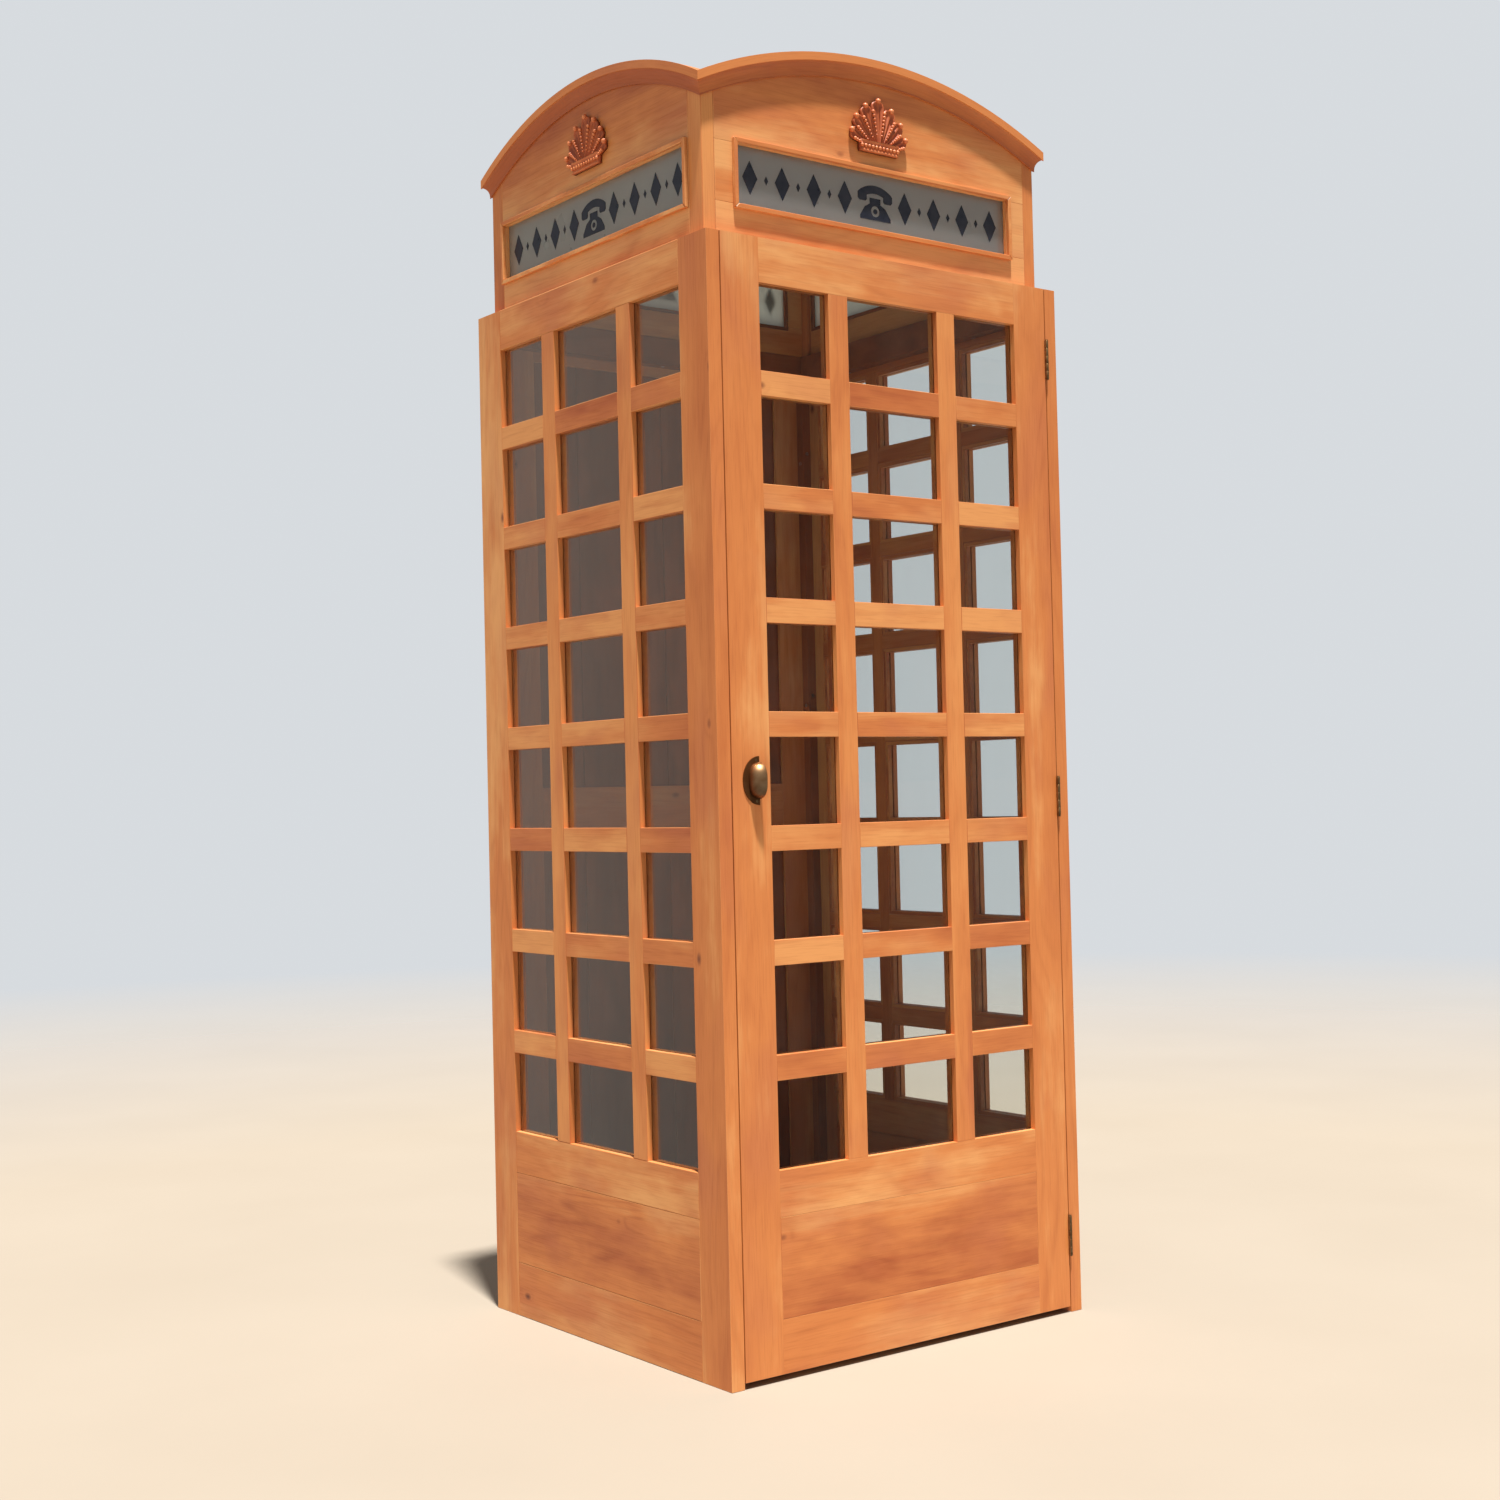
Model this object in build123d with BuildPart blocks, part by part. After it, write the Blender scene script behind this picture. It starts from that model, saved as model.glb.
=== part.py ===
from build123d import *
import os
from math import cos, pi, radians, sin, sqrt, tan

# A free-standing timber telephone booth. Two glazed side walls hold a boarded back wall and a
# glazed door between them, and carry a head with an arched cornice, a sign and a carved ornament
# on each of its four sides. Millimetres, +Z up, +X to the right of someone facing the door. The
# origin is on the ground, under the middle of the floor.

# ---- Walls ----
WIDTH = 856.0                      # over the outer faces of the side walls
DEPTH = 800.0                      # from the front edges to the back edges of the side walls
WALL_HEIGHT = 2018.0
WALL_T = 28.0
BOTTOM_RAIL_TOP = 106.0
LOCK_RAIL = 82.0                   # the rail under the panes
TOP_RAIL = 81.0
BACK_RAIL_BOTTOM = 940.0
BACK_RAIL_TOP = 1052.0
INNER_HALF_WIDTH = WIDTH / 2 - WALL_T
FRONT_Y = -DEPTH / 2
BACK_Y = DEPTH / 2

# ---- Panes ----
PANE_ROWS = 8
PANE_HEIGHT = 157.0
SIDE_PANE = 159.0                  # width of the panes in the two outer columns
MIDDLE_PANE = 220.0
BAR = 45.0                         # face width of a glazing bar
GLASS_DEPTH = 12.0                 # from a wall's outer face to its glass
GLASS_T = 3.0
GLASS_PLAY = 1.0                   # round a pane in its rebate
REBATE = 8.0
BEAD_T = 11.0

GRID_HALF = SIDE_PANE + BAR + MIDDLE_PANE / 2
BAR_U = (MIDDLE_PANE + BAR) / 2
COLUMNS = (
    (-(BAR_U + (BAR + SIDE_PANE) / 2), SIDE_PANE),
    (0.0, MIDDLE_PANE),
    (BAR_U + (BAR + SIDE_PANE) / 2, SIDE_PANE),
)
ROW_PITCH = PANE_HEIGHT + BAR
PANE_TOP = WALL_HEIGHT - TOP_RAIL
PANE_BOTTOM = PANE_TOP - PANE_ROWS * ROW_PITCH + BAR
ROW_HEIGHTS = [PANE_BOTTOM + PANE_HEIGHT / 2 + row * ROW_PITCH for row in range(PANE_ROWS)]
CROSS_BAR_HEIGHTS = [height + ROW_PITCH / 2 for height in ROW_HEIGHTS[:-1]]
LOCK_RAIL_BOTTOM = PANE_BOTTOM - LOCK_RAIL

# ---- Joinery ----
TENON = 40.0
TENON_FROM, TENON_TO = 9.5, 18.5   # depths below the outer face
TENON_SHOULDER = 10.0
TONGUE = 8.0
TONGUE_FROM, TONGUE_TO = 10.0, 18.0
BASE_PANEL_T = 20.0
BACK_BOARDS = 6
BACK_BOARD_FROM, BACK_BOARD_TO = 6.0, 22.0
BACK_LAP = 6.0                     # the boards overlap, so no light comes in between them
BOARD_JOINT = 0.5
V_JOINT = 1.5

# ---- Door and its hinges ----
DOOR_GAP = 2.5                     # between the door's edges and the side walls
DOOR_FLOOR_GAP = 11.0
DOOR_HALF_WIDTH = INNER_HALF_WIDTH - DOOR_GAP
HINGE_HEIGHTS = (150.0, 1011.0, 1876.0)
HINGE_LENGTH = 76.0
KNUCKLES = 5
KNUCKLE_GAP = 0.3
LEAF_T = 1.4
LEAF_GAP = 0.4                     # between the two closed leaves
LEAF_REACH = 24.0
BARREL_R = 3.4
PIN_R = 1.9
PIN_PLAY = 0.05
PIN_HEAD_R = 2.8
PIN_HEAD_H = 2.0
PIN_X = INNER_HALF_WIDTH - DOOR_GAP / 2
BARREL_CLEAR = 0.5                 # between the barrel and the face of the door
PIN_Y = FRONT_Y - BARREL_R - BARREL_CLEAR
LEAF_OFFSET = (LEAF_GAP + LEAF_T) / 2
LEAF_SCREW_SPOTS = ((9.0, -28.0), (16.0, 0.0), (9.0, 28.0))   # reach from the front, height

# ---- Screws: shank radius, head radius, length ----
HINGE_SCREW = (1.6, 2.8, 20.0)
PULL_SCREW = (1.4, 2.6, 14.0)
BATTEN_SCREW = (2.2, 4.2, 40.0)
HEAD_SCREW = (2.5, 4.8, 90.0)
SCREW_PLAY = 0.1
SLOT = 0.8
COUNTERSINK_ANGLE = 82.0

# ---- Cup pull ----
PULL_X = -339.0                    # the straight, open edge of the pull
PULL_Z = 1052.0
PULL_FLANGE = (36.0, 43.0)         # half-ellipse: reach and half-height
PULL_FLANGE_T = 1.8
BOWL_R = 24.0
BOWL_HALF_HEIGHT = 32.0
BOWL_FULLNESS = 2.5                # 2 is an ellipse, more is boxier
BOWL_STEPS = 6
BOWL_T = 1.5
PULL_SCREW_SPOTS = ((PULL_X - 6.5, PULL_Z - 36.0), (PULL_X - 6.5, PULL_Z + 36.0))

# ---- Catch ----
CATCH_SIZE = (16.0, 18.0, 50.0)
CATCH_Z = 1052.0
CATCH_ROUND = 2.0
STRIKE_SIZE = (20.0, 1.5, 60.0)
STRIKE_OVERLAP = 2.0               # behind the stop

# ---- Floor, stops and frame pieces behind the door ----
BEARER = 40.0
FLOOR_BOARD_T = 18.0
FLOOR_BOARDS = 7
FLOOR_JOINT = 1.0
FLOOR_Z = BEARER + FLOOR_BOARD_T
STOP_GAP = 1.0                     # behind the closed door
STOP_WIDTH = 14.0
STOP_T = 20.0
STOP_FRONT_Y = FRONT_Y + WALL_T + 2 * STOP_GAP
HEADER_FRONT_Y = FRONT_Y + WALL_T + STOP_GAP
BACK_INNER_Y = BACK_Y - WALL_T
CLEAT = 28.0
CLEAT_HEIGHT = 60.0
CLEAT_Z = WALL_HEIGHT - CLEAT_HEIGHT
BATTEN = 22.0
BATTEN_SCREW_HEIGHTS = (150.0, 700.0, 1250.0, 1800.0)

# ---- Head ----
HEAD_HALF_X = 408.6
HEAD_HALF_Y = 366.3
POST_X, POST_Y = 28.0, 40.0
FASCIA_T = 20.0
HEAD_JOINT = 0.2                   # between boards that meet edge to end in one face of the head
CORNICE_TOP = 2400.0               # crown of every arch
ARCH_RISE = 100.0
CORNICE_OVERHANG = 17.0
CORNICE_DEPTH = 40.0
CORNICE_FILLET = 15.0
CORNICE_CAP = 8.0                  # thickness of the part that covers the fascia's top edge
COVE_STEP = 3.0
COVE_RADIUS = 30.0
NOSE = 3.5
SIGN_BOTTOM = 2082.5
SIGN_TOP = 2192.5
SIGN_HALF_FRONT = 333.0
SIGN_HALF_SIDE = 316.0
SIGN_GLASS_DEPTH = 9.0
SIGN_GLASS_T = 4.0
SIGN_MOULD_W = 8.5
SIGN_MOULD_T = 8.0
HEAD_SCREW_XS = (-250.0, 0.0, 250.0)
HEAD_SCREW_YS = (-200.0, 200.0)
HEAD_SCREW_IN_X = 14.0             # inside the head's left and right faces
HEAD_SCREW_IN_Y = 10.0             # inside its front and back faces
PAST = 1.0                         # how far a cutting shape runs past what it cuts

# ---- Ornament ----
ORNAMENT_BOTTOM = 2227.0
ORNAMENT_BAND = (96.0, 20.0)
ORNAMENT_T = 14.0
PETALS = 7
PETAL_STEP = 20.5                  # degrees
PETAL_WIDTH = 22.0
PETAL_LONG = 92.0                  # the middle one
PETAL_SHORT = 68.0                 # the outermost two

# ---- Roof ----
ROOF_TOP = 2455.0
ROOF_RADIUS_X = 957.0
ROOF_RADIUS_Y = 785.0
ROOF_T = 9.0
RIB_T = 18.0
RIB_DEPTH = 40.0
RIB_XS = (-370.0, -185.0, 0.0, 185.0, 370.0)

# ---- Faces: each has +X along the wall, +Y up and +Z out of it ----
FRONT = Plane(origin=(0, FRONT_Y, 0), x_dir=(1, 0, 0), z_dir=(0, -1, 0))
BACK = Plane(origin=(0, BACK_Y, 0), x_dir=(-1, 0, 0), z_dir=(0, 1, 0))
LEFT = Plane(origin=(-WIDTH / 2, 0, 0), x_dir=(0, -1, 0), z_dir=(-1, 0, 0))
RIGHT = Plane(origin=(WIDTH / 2, 0, 0), x_dir=(0, 1, 0), z_dir=(1, 0, 0))

os.makedirs("parts", exist_ok=True)


def keep(builder, name):
    """Label a finished piece and write it out."""
    builder.part.label = name
    export_step(builder.part, f"parts/{name}.step")


def slab(face, spots, width, height, outer, inner, mode=Mode.ADD):
    """Boards centred on (along, up) spots of a face, filling it between two depths below it."""
    with BuildSketch(face.offset(-inner)) as outline:
        with Locations(*spots):
            Rectangle(width, height)
    extrude(outline.sketch, amount=inner - outer, mode=mode)


def band(face, spots, width, bottom, top, outer, inner, mode=Mode.ADD):
    """Boards that run from one height to another, centred on places along a face."""
    middle = (bottom + top) / 2
    slab(face, [(along, middle) for along in spots], width, top - bottom, outer, inner, mode)


def block(low, high, mode=Mode.ADD):
    """A squared timber between two opposite corners."""
    size = [b - a for a, b in zip(low, high)]
    with Locations(low):
        Box(*size, align=(Align.MIN, Align.MIN, Align.MIN), mode=mode)


def screws(places, kind):
    """Slotted countersunk screws, their heads flush with the +Z side of each place."""
    shank_r, head_r, length = kind
    head_h = (head_r - shank_r) / tan(radians(COUNTERSINK_ANGLE / 2))
    top = (Align.CENTER, Align.CENTER, Align.MAX)
    with Locations(*places):
        Cylinder(shank_r, length, align=top)
        Cone(shank_r, head_r, head_h, align=top)
        Box(2 * head_r, SLOT, SLOT, align=top, mode=Mode.SUBTRACT)


# ---------------------------------------------------------------- walls

def rail_heights(bottom):
    """Bottom and top of the three rails of a glazed wall that starts at a height."""
    return ((bottom, BOTTOM_RAIL_TOP), (LOCK_RAIL_BOTTOM, PANE_BOTTOM), (PANE_TOP, WALL_HEIGHT))


def mortises(face, inner_half, rails):
    """Slots in both stiles for the tenons of the rails."""
    for bottom, top in rails:
        spots = [side * (inner_half + TENON / 2) for side in (-1, 1)]
        low = bottom + TENON_SHOULDER
        high = top - TENON_SHOULDER
        band(face, spots, TENON, low, high, TENON_FROM, TENON_TO, Mode.SUBTRACT)


def rails_with_tenons(face, inner_half, rails):
    """Rails that fill the width between the stiles and run into them as tenons."""
    for bottom, top in rails:
        band(face, [0], 2 * inner_half, bottom, top, 0, WALL_T)
        low = bottom + TENON_SHOULDER
        high = top - TENON_SHOULDER
        band(face, [0], 2 * (inner_half + TENON), low, high, TENON_FROM, TENON_TO)


def groove(face, inner_half, bottom, top, outer, inner):
    """The groove for a panel's edges, cut into whichever frame piece is being made."""
    width = 2 * (inner_half + TONGUE)
    band(face, [0], width, bottom - TONGUE, top + TONGUE, outer, inner, Mode.SUBTRACT)


def hinge_beds(side):
    """Shallow recesses for the leaves on the door's side (-1) or the side wall's (1)."""
    centres = [(PIN_X + side * LEAF_OFFSET, FRONT_Y + LEAF_REACH / 2, z) for z in HINGE_HEIGHTS]
    with Locations(*centres):
        Box(LEAF_T, LEAF_REACH, HINGE_LENGTH, mode=Mode.SUBTRACT)


def glazed_wall(name, face, half_width, bottom, bed_side=0):
    """The seven nodes of a wall with three columns and eight rows of panes over a flush panel."""
    rails = rail_heights(bottom)
    back = WALL_T
    rebate_low = PANE_BOTTOM - REBATE
    rebate_high = PANE_TOP + REBATE
    tongue_width = BAR - 2 * REBATE

    with BuildPart() as stiles:
        stile = half_width - GRID_HALF
        spots = [side * (half_width - stile / 2) for side in (-1, 1)]
        band(face, spots, stile, bottom, WALL_HEIGHT, 0, WALL_T)
        rebate_width = 2 * (GRID_HALF + REBATE)
        band(face, [0], rebate_width, rebate_low, rebate_high, GLASS_DEPTH, back, Mode.SUBTRACT)
        groove(face, GRID_HALF, BOTTOM_RAIL_TOP, LOCK_RAIL_BOTTOM, TONGUE_FROM, TONGUE_TO)
        mortises(face, GRID_HALF, rails)
        if bed_side:
            hinge_beds(bed_side)
    keep(stiles, f"{name}_stiles")

    with BuildPart() as rails_part:
        rails_with_tenons(face, GRID_HALF, rails)
        rebate_width = 2 * GRID_HALF
        band(face, [0], rebate_width, rebate_low, rebate_high, GLASS_DEPTH, back, Mode.SUBTRACT)
        groove(face, GRID_HALF, BOTTOM_RAIL_TOP, LOCK_RAIL_BOTTOM, TONGUE_FROM, TONGUE_TO)
    keep(rails_part, f"{name}_rails")

    with BuildPart() as base_panel:
        band(face, [0], 2 * GRID_HALF, BOTTOM_RAIL_TOP, LOCK_RAIL_BOTTOM, 0, BASE_PANEL_T)
        low = BOTTOM_RAIL_TOP - TONGUE
        high = LOCK_RAIL_BOTTOM + TONGUE
        band(face, [0], 2 * (GRID_HALF + TONGUE), low, high, TONGUE_FROM, TONGUE_TO)
    keep(base_panel, f"{name}_base_panel")

    with BuildPart() as upright_bars:
        spots = (-BAR_U, BAR_U)
        band(face, spots, BAR, PANE_BOTTOM, PANE_TOP, 0, GLASS_DEPTH)
        band(face, spots, tongue_width, rebate_low, rebate_high, GLASS_DEPTH, back)
    keep(upright_bars, f"{name}_upright_bars")

    with BuildPart() as cross_bars:
        for along, width in COLUMNS:
            spots = [(along, height) for height in CROSS_BAR_HEIGHTS]
            slab(face, spots, width, BAR, 0, GLASS_DEPTH)
            slab(face, spots, width + 2 * REBATE, tongue_width, GLASS_DEPTH, back)
    keep(cross_bars, f"{name}_cross_bars")

    with BuildPart() as panes:
        margin = 2 * (REBATE - GLASS_PLAY)
        for along, width in COLUMNS:
            spots = [(along, height) for height in ROW_HEIGHTS]
            behind = GLASS_DEPTH + GLASS_T
            slab(face, spots, width + margin, PANE_HEIGHT + margin, GLASS_DEPTH, behind)
    keep(panes, f"{name}_panes")

    with BuildPart() as beads:
        outer = GLASS_DEPTH + GLASS_T
        inner = outer + BEAD_T
        for along, width in COLUMNS:
            spots = [(along, height) for height in ROW_HEIGHTS]
            slab(face, spots, width + 2 * REBATE, PANE_HEIGHT + 2 * REBATE, outer, inner)
            slab(face, spots, width, PANE_HEIGHT, outer, inner, Mode.SUBTRACT)
    keep(beads, f"{name}_glazing_beads")


glazed_wall("left_wall", LEFT, DEPTH / 2, 0)
glazed_wall("right_wall", RIGHT, DEPTH / 2, 0, bed_side=1)
glazed_wall("door", FRONT, DOOR_HALF_WIDTH, DOOR_FLOOR_GAP, bed_side=-1)

BACK_RAILS = ((0, BOTTOM_RAIL_TOP), (BACK_RAIL_BOTTOM, BACK_RAIL_TOP), (PANE_TOP, WALL_HEIGHT))
BACK_FIELDS = {
    "back_wall_lower_boards": (BOTTOM_RAIL_TOP, BACK_RAIL_BOTTOM),
    "back_wall_upper_boards": (BACK_RAIL_TOP, PANE_TOP),
}

with BuildPart() as back_stiles:
    stile = INNER_HALF_WIDTH - GRID_HALF
    spots = [side * (INNER_HALF_WIDTH - stile / 2) for side in (-1, 1)]
    band(BACK, spots, stile, 0, WALL_HEIGHT, 0, WALL_T)
    for low, high in BACK_FIELDS.values():
        groove(BACK, GRID_HALF, low, high, BACK_BOARD_FROM, BACK_BOARD_TO)
    mortises(BACK, GRID_HALF, BACK_RAILS)
keep(back_stiles, "back_wall_stiles")

with BuildPart() as back_rails:
    rails_with_tenons(BACK, GRID_HALF, BACK_RAILS)
    for low, high in BACK_FIELDS.values():
        groove(BACK, GRID_HALF - TONGUE, low, high, BACK_BOARD_FROM, BACK_BOARD_TO)
keep(back_rails, "back_wall_rails")

def lapped_board(left, right, bottom, top, is_first, is_last):
    """A board with an outer lip on its left and an inner lip that runs on past its right."""
    outside = BACK_Y - BACK_BOARD_FROM
    inside = BACK_Y - BACK_BOARD_TO
    middle = (outside + inside) / 2
    body_left = left if is_first else left + BACK_LAP
    block((body_left, inside, bottom), (right, outside, top))
    if not is_first:
        block((left, middle + BOARD_JOINT / 2, bottom), (body_left, outside, top))
    if not is_last:
        block((right, inside, bottom), (right + BACK_LAP, middle - BOARD_JOINT / 2, top))


for name, (low, high) in BACK_FIELDS.items():
    with BuildPart() as boards:
        pitch = 2 * (GRID_HALF + TONGUE) / BACK_BOARDS
        for number in range(BACK_BOARDS):
            left = number * pitch - GRID_HALF - TONGUE + BOARD_JOINT / 2
            lapped_board(
                left, left + pitch - BOARD_JOINT, low - TONGUE, high + TONGUE,
                is_first=number == 0, is_last=number == BACK_BOARDS - 1,
            )
        uprights = boards.edges().filter_by(Axis.Z).group_by(Axis.Y)
        chamfer(uprights[0] + uprights[-1], V_JOINT)
    keep(boards, name)

# ---------------------------------------------------------------- hinges, pull and catch

def hinge_leaf(height, side, first_knuckle):
    """A leaf with its screw holes, and every second knuckle of the barrel curled from it."""
    face_x = PIN_X + side * LEAF_GAP / 2
    pitch = HINGE_LENGTH / KNUCKLES
    with Locations((PIN_X + side * LEAF_OFFSET, FRONT_Y + LEAF_REACH / 2, height)):
        Box(LEAF_T, LEAF_REACH, HINGE_LENGTH)
    for number in range(first_knuckle, KNUCKLES, 2):
        base = height - HINGE_LENGTH / 2 + number * pitch + KNUCKLE_GAP / 2
        with BuildSketch(Plane.XY.offset(base)) as ring:
            with Locations((PIN_X, PIN_Y)):
                Circle(BARREL_R)
            neck_low = PIN_Y + PIN_R + KNUCKLE_GAP
            with Locations((PIN_X + side * LEAF_OFFSET, (neck_low + FRONT_Y) / 2)):
                Rectangle(LEAF_T, FRONT_Y - neck_low)
            with Locations((PIN_X, PIN_Y)):
                Circle(PIN_R + PIN_PLAY, mode=Mode.SUBTRACT)
        extrude(ring.sketch, amount=pitch - KNUCKLE_GAP)
    shank_r, head_r, _ = HINGE_SCREW
    with Locations(*leaf_screw_places(height, side, face_x)):
        CounterSinkHole(shank_r + SCREW_PLAY, head_r + SCREW_PLAY, depth=LEAF_T)


def leaf_screw_places(height, side, face_x):
    """Where the screws enter a leaf: +Z points out of its bare side."""
    out = (-side, 0, 0)
    return [
        Plane(origin=(face_x, FRONT_Y + reach, height + rise), z_dir=out).location
        for reach, rise in LEAF_SCREW_SPOTS
    ]


for owner, side, first_knuckle in (("door", -1, 1), ("wall", 1, 0)):
    with BuildPart() as leaves:
        for height in HINGE_HEIGHTS:
            hinge_leaf(height, side, first_knuckle)
    keep(leaves, f"hinge_{owner}_leaves")

    with BuildPart() as leaf_screws:
        for height in HINGE_HEIGHTS:
            screws(leaf_screw_places(height, side, PIN_X + side * LEAF_GAP / 2), HINGE_SCREW)
    keep(leaf_screws, f"hinge_{owner}_screws")

with BuildPart() as hinge_pins:
    with Locations(*[(PIN_X, PIN_Y, height) for height in HINGE_HEIGHTS]):
        Cylinder(PIN_R, HINGE_LENGTH)
    for end in (-1, 1):
        rise = end * (HINGE_LENGTH + PIN_HEAD_H) / 2
        with Locations(*[(PIN_X, PIN_Y, height + rise) for height in HINGE_HEIGHTS]):
            Cylinder(PIN_HEAD_R, PIN_HEAD_H)
keep(hinge_pins, "hinge_pins")


def bowl(thinner):
    """A quarter of a turned cup with full, rounded ends, which stops at the pull's open edge."""
    radius = BOWL_R - thinner
    half_height = BOWL_HALF_HEIGHT - thinner
    profile = []
    for step in range(2 * BOWL_STEPS + 1):
        angle = (step / BOWL_STEPS - 1) * pi / 2
        reach = radius * abs(cos(angle)) ** (2 / BOWL_FULLNESS)
        rise = half_height * abs(sin(angle)) ** (2 / BOWL_FULLNESS)
        profile.append((reach, rise if step > BOWL_STEPS else -rise))
    profile[0] = (0, -half_height)
    profile[-1] = (0, half_height)
    with BuildPart(mode=Mode.PRIVATE) as quarter:
        with BuildSketch(Plane.XZ) as section:
            with BuildLine():
                Spline(*profile, tangents=((1, 0), (-1, 0)))
                Line(profile[-1], profile[0])
            make_face()
        revolve(section.sketch, axis=Axis.Z, revolution_arc=360)
        corner = (-2 * radius, -2 * radius, -2 * half_height)
        block(corner, (0, 0, 2 * half_height), Mode.INTERSECT)
    return quarter.part.moved(Location((PULL_X, FRONT_Y, PULL_Z)))


PULL_FACE = FRONT.offset(PULL_FLANGE_T)

with BuildPart() as cup_pull:
    with BuildSketch(FRONT) as flange:
        with Locations((PULL_X, PULL_Z)):
            Ellipse(*PULL_FLANGE)
        with Locations((PULL_X + PULL_FLANGE[0], PULL_Z)):
            Rectangle(2 * PULL_FLANGE[0], 2 * PULL_FLANGE[1], mode=Mode.SUBTRACT)
    extrude(flange.sketch, amount=PULL_FLANGE_T)
    add(bowl(0))
    add(bowl(BOWL_T), mode=Mode.SUBTRACT)
    with Locations(*[PULL_FACE.location * Location((x, z, 0)) for x, z in PULL_SCREW_SPOTS]):
        CounterSinkHole(PULL_SCREW[0] + SCREW_PLAY, PULL_SCREW[1] + SCREW_PLAY, depth=PULL_FLANGE_T)
keep(cup_pull, "cup_pull")

with BuildPart() as pull_screws:
    screws([PULL_FACE.location * Location((x, z, 0)) for x, z in PULL_SCREW_SPOTS], PULL_SCREW)
keep(pull_screws, "pull_screws")

STOP_INNER_X = -INNER_HALF_WIDTH + STOP_WIDTH

with BuildPart() as catch_body:
    width, depth, height = CATCH_SIZE
    low = (STOP_INNER_X, STOP_FRONT_Y, CATCH_Z - height / 2)
    block(low, (low[0] + width, low[1] + depth, low[2] + height))
    fillet(catch_body.edges().filter_by(Axis.Z).sort_by(Axis.X)[-2:], CATCH_ROUND)
keep(catch_body, "catch_body")

with BuildPart() as catch_strike:
    width, depth, height = STRIKE_SIZE
    low = (STOP_INNER_X - STRIKE_OVERLAP, FRONT_Y + WALL_T, CATCH_Z - height / 2)
    block(low, (low[0] + width, low[1] + depth, low[2] + height))
keep(catch_strike, "catch_strike")

# ---------------------------------------------------------------- floor and inner frame

with BuildPart() as floor_bearers:
    first = HEADER_FRONT_Y + BEARER / 2
    last = BACK_INNER_Y - BEARER / 2
    for y in (first, first / 2, 0, last / 2, last):
        low = (-INNER_HALF_WIDTH, y - BEARER / 2, 0)
        block(low, (INNER_HALF_WIDTH, y + BEARER / 2, BEARER))
keep(floor_bearers, "floor_bearers")

with BuildPart() as floor_boards:
    pitch = 2 * INNER_HALF_WIDTH / FLOOR_BOARDS
    for number in range(FLOOR_BOARDS):
        left = -INNER_HALF_WIDTH + number * pitch
        low = (left + FLOOR_JOINT / 2, HEADER_FRONT_Y, BEARER)
        block(low, (left + pitch - FLOOR_JOINT / 2, BACK_INNER_Y, FLOOR_Z))
keep(floor_boards, "floor_boards")

with BuildPart() as door_stops:
    for edge in (-INNER_HALF_WIDTH, INNER_HALF_WIDTH - STOP_WIDTH):
        low = (edge, STOP_FRONT_Y, FLOOR_Z)
        block(low, (edge + STOP_WIDTH, STOP_FRONT_Y + STOP_T, CLEAT_Z))
keep(door_stops, "door_stops")

with BuildPart() as door_header:
    low = (-INNER_HALF_WIDTH, HEADER_FRONT_Y, CLEAT_Z)
    block(low, (INNER_HALF_WIDTH, HEADER_FRONT_Y + CLEAT, WALL_HEIGHT))
keep(door_header, "door_header")

with BuildPart() as head_cleats:
    front = HEADER_FRONT_Y + CLEAT
    back = BACK_INNER_Y - CLEAT
    inner = INNER_HALF_WIDTH - CLEAT
    end = back - BOARD_JOINT
    block((-INNER_HALF_WIDTH, front, CLEAT_Z), (-inner, end, WALL_HEIGHT))
    block((inner, front, CLEAT_Z), (INNER_HALF_WIDTH, end, WALL_HEIGHT))
    block((-INNER_HALF_WIDTH, back, CLEAT_Z), (INNER_HALF_WIDTH, BACK_INNER_Y, WALL_HEIGHT))
keep(head_cleats, "head_cleats")

with BuildPart() as corner_battens:
    for edge in (-INNER_HALF_WIDTH, INNER_HALF_WIDTH - BATTEN):
        low = (edge, BACK_INNER_Y - BATTEN, FLOOR_Z)
        block(low, (edge + BATTEN, BACK_INNER_Y, CLEAT_Z))
keep(corner_battens, "corner_battens")

with BuildPart() as batten_screws:
    into_back = []
    into_sides = []
    for height in BATTEN_SCREW_HEIGHTS:
        for side in (-1, 1):
            middle_x = side * (INNER_HALF_WIDTH - BATTEN / 2)
            face_x = side * (INNER_HALF_WIDTH - BATTEN)
            middle_y = BACK_INNER_Y - BATTEN / 2
            face_y = BACK_INNER_Y - BATTEN
            into_back.append(Plane(origin=(middle_x, face_y, height), z_dir=(0, -1, 0)).location)
            low = height - BATTEN
            into_sides.append(Plane(origin=(face_x, middle_y, low), z_dir=(-side, 0, 0)).location)
    screws(into_back + into_sides, BATTEN_SCREW)
keep(batten_screws, "batten_screws")

# ---------------------------------------------------------------- head

def arch_radius(half_width):
    """Radius of the cornice's top edge over a face of the head."""
    chord = half_width + CORNICE_OVERHANG
    return (chord * chord + ARCH_RISE * ARCH_RISE) / (2 * ARCH_RISE)


def head_face(origin_x, origin_y):
    """The outer face of the head on one side."""
    out = Vector(origin_x, origin_y, 0).normalized()
    along = Vector(0, 0, 1).cross(out)
    return Plane(origin=(origin_x, origin_y, 0), x_dir=along, z_dir=out)


# name: face, half-width over the corners, width taken by a corner post, half-width of the sign
HEAD_SIDES = {
    "front": (head_face(0, -HEAD_HALF_Y), HEAD_HALF_X, POST_X, SIGN_HALF_FRONT),
    "back": (head_face(0, HEAD_HALF_Y), HEAD_HALF_X, POST_X, SIGN_HALF_FRONT),
    "left": (head_face(-HEAD_HALF_X, 0), HEAD_HALF_Y, POST_Y, SIGN_HALF_SIDE),
    "right": (head_face(HEAD_HALF_X, 0), HEAD_HALF_Y, POST_Y, SIGN_HALF_SIDE),
}


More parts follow.
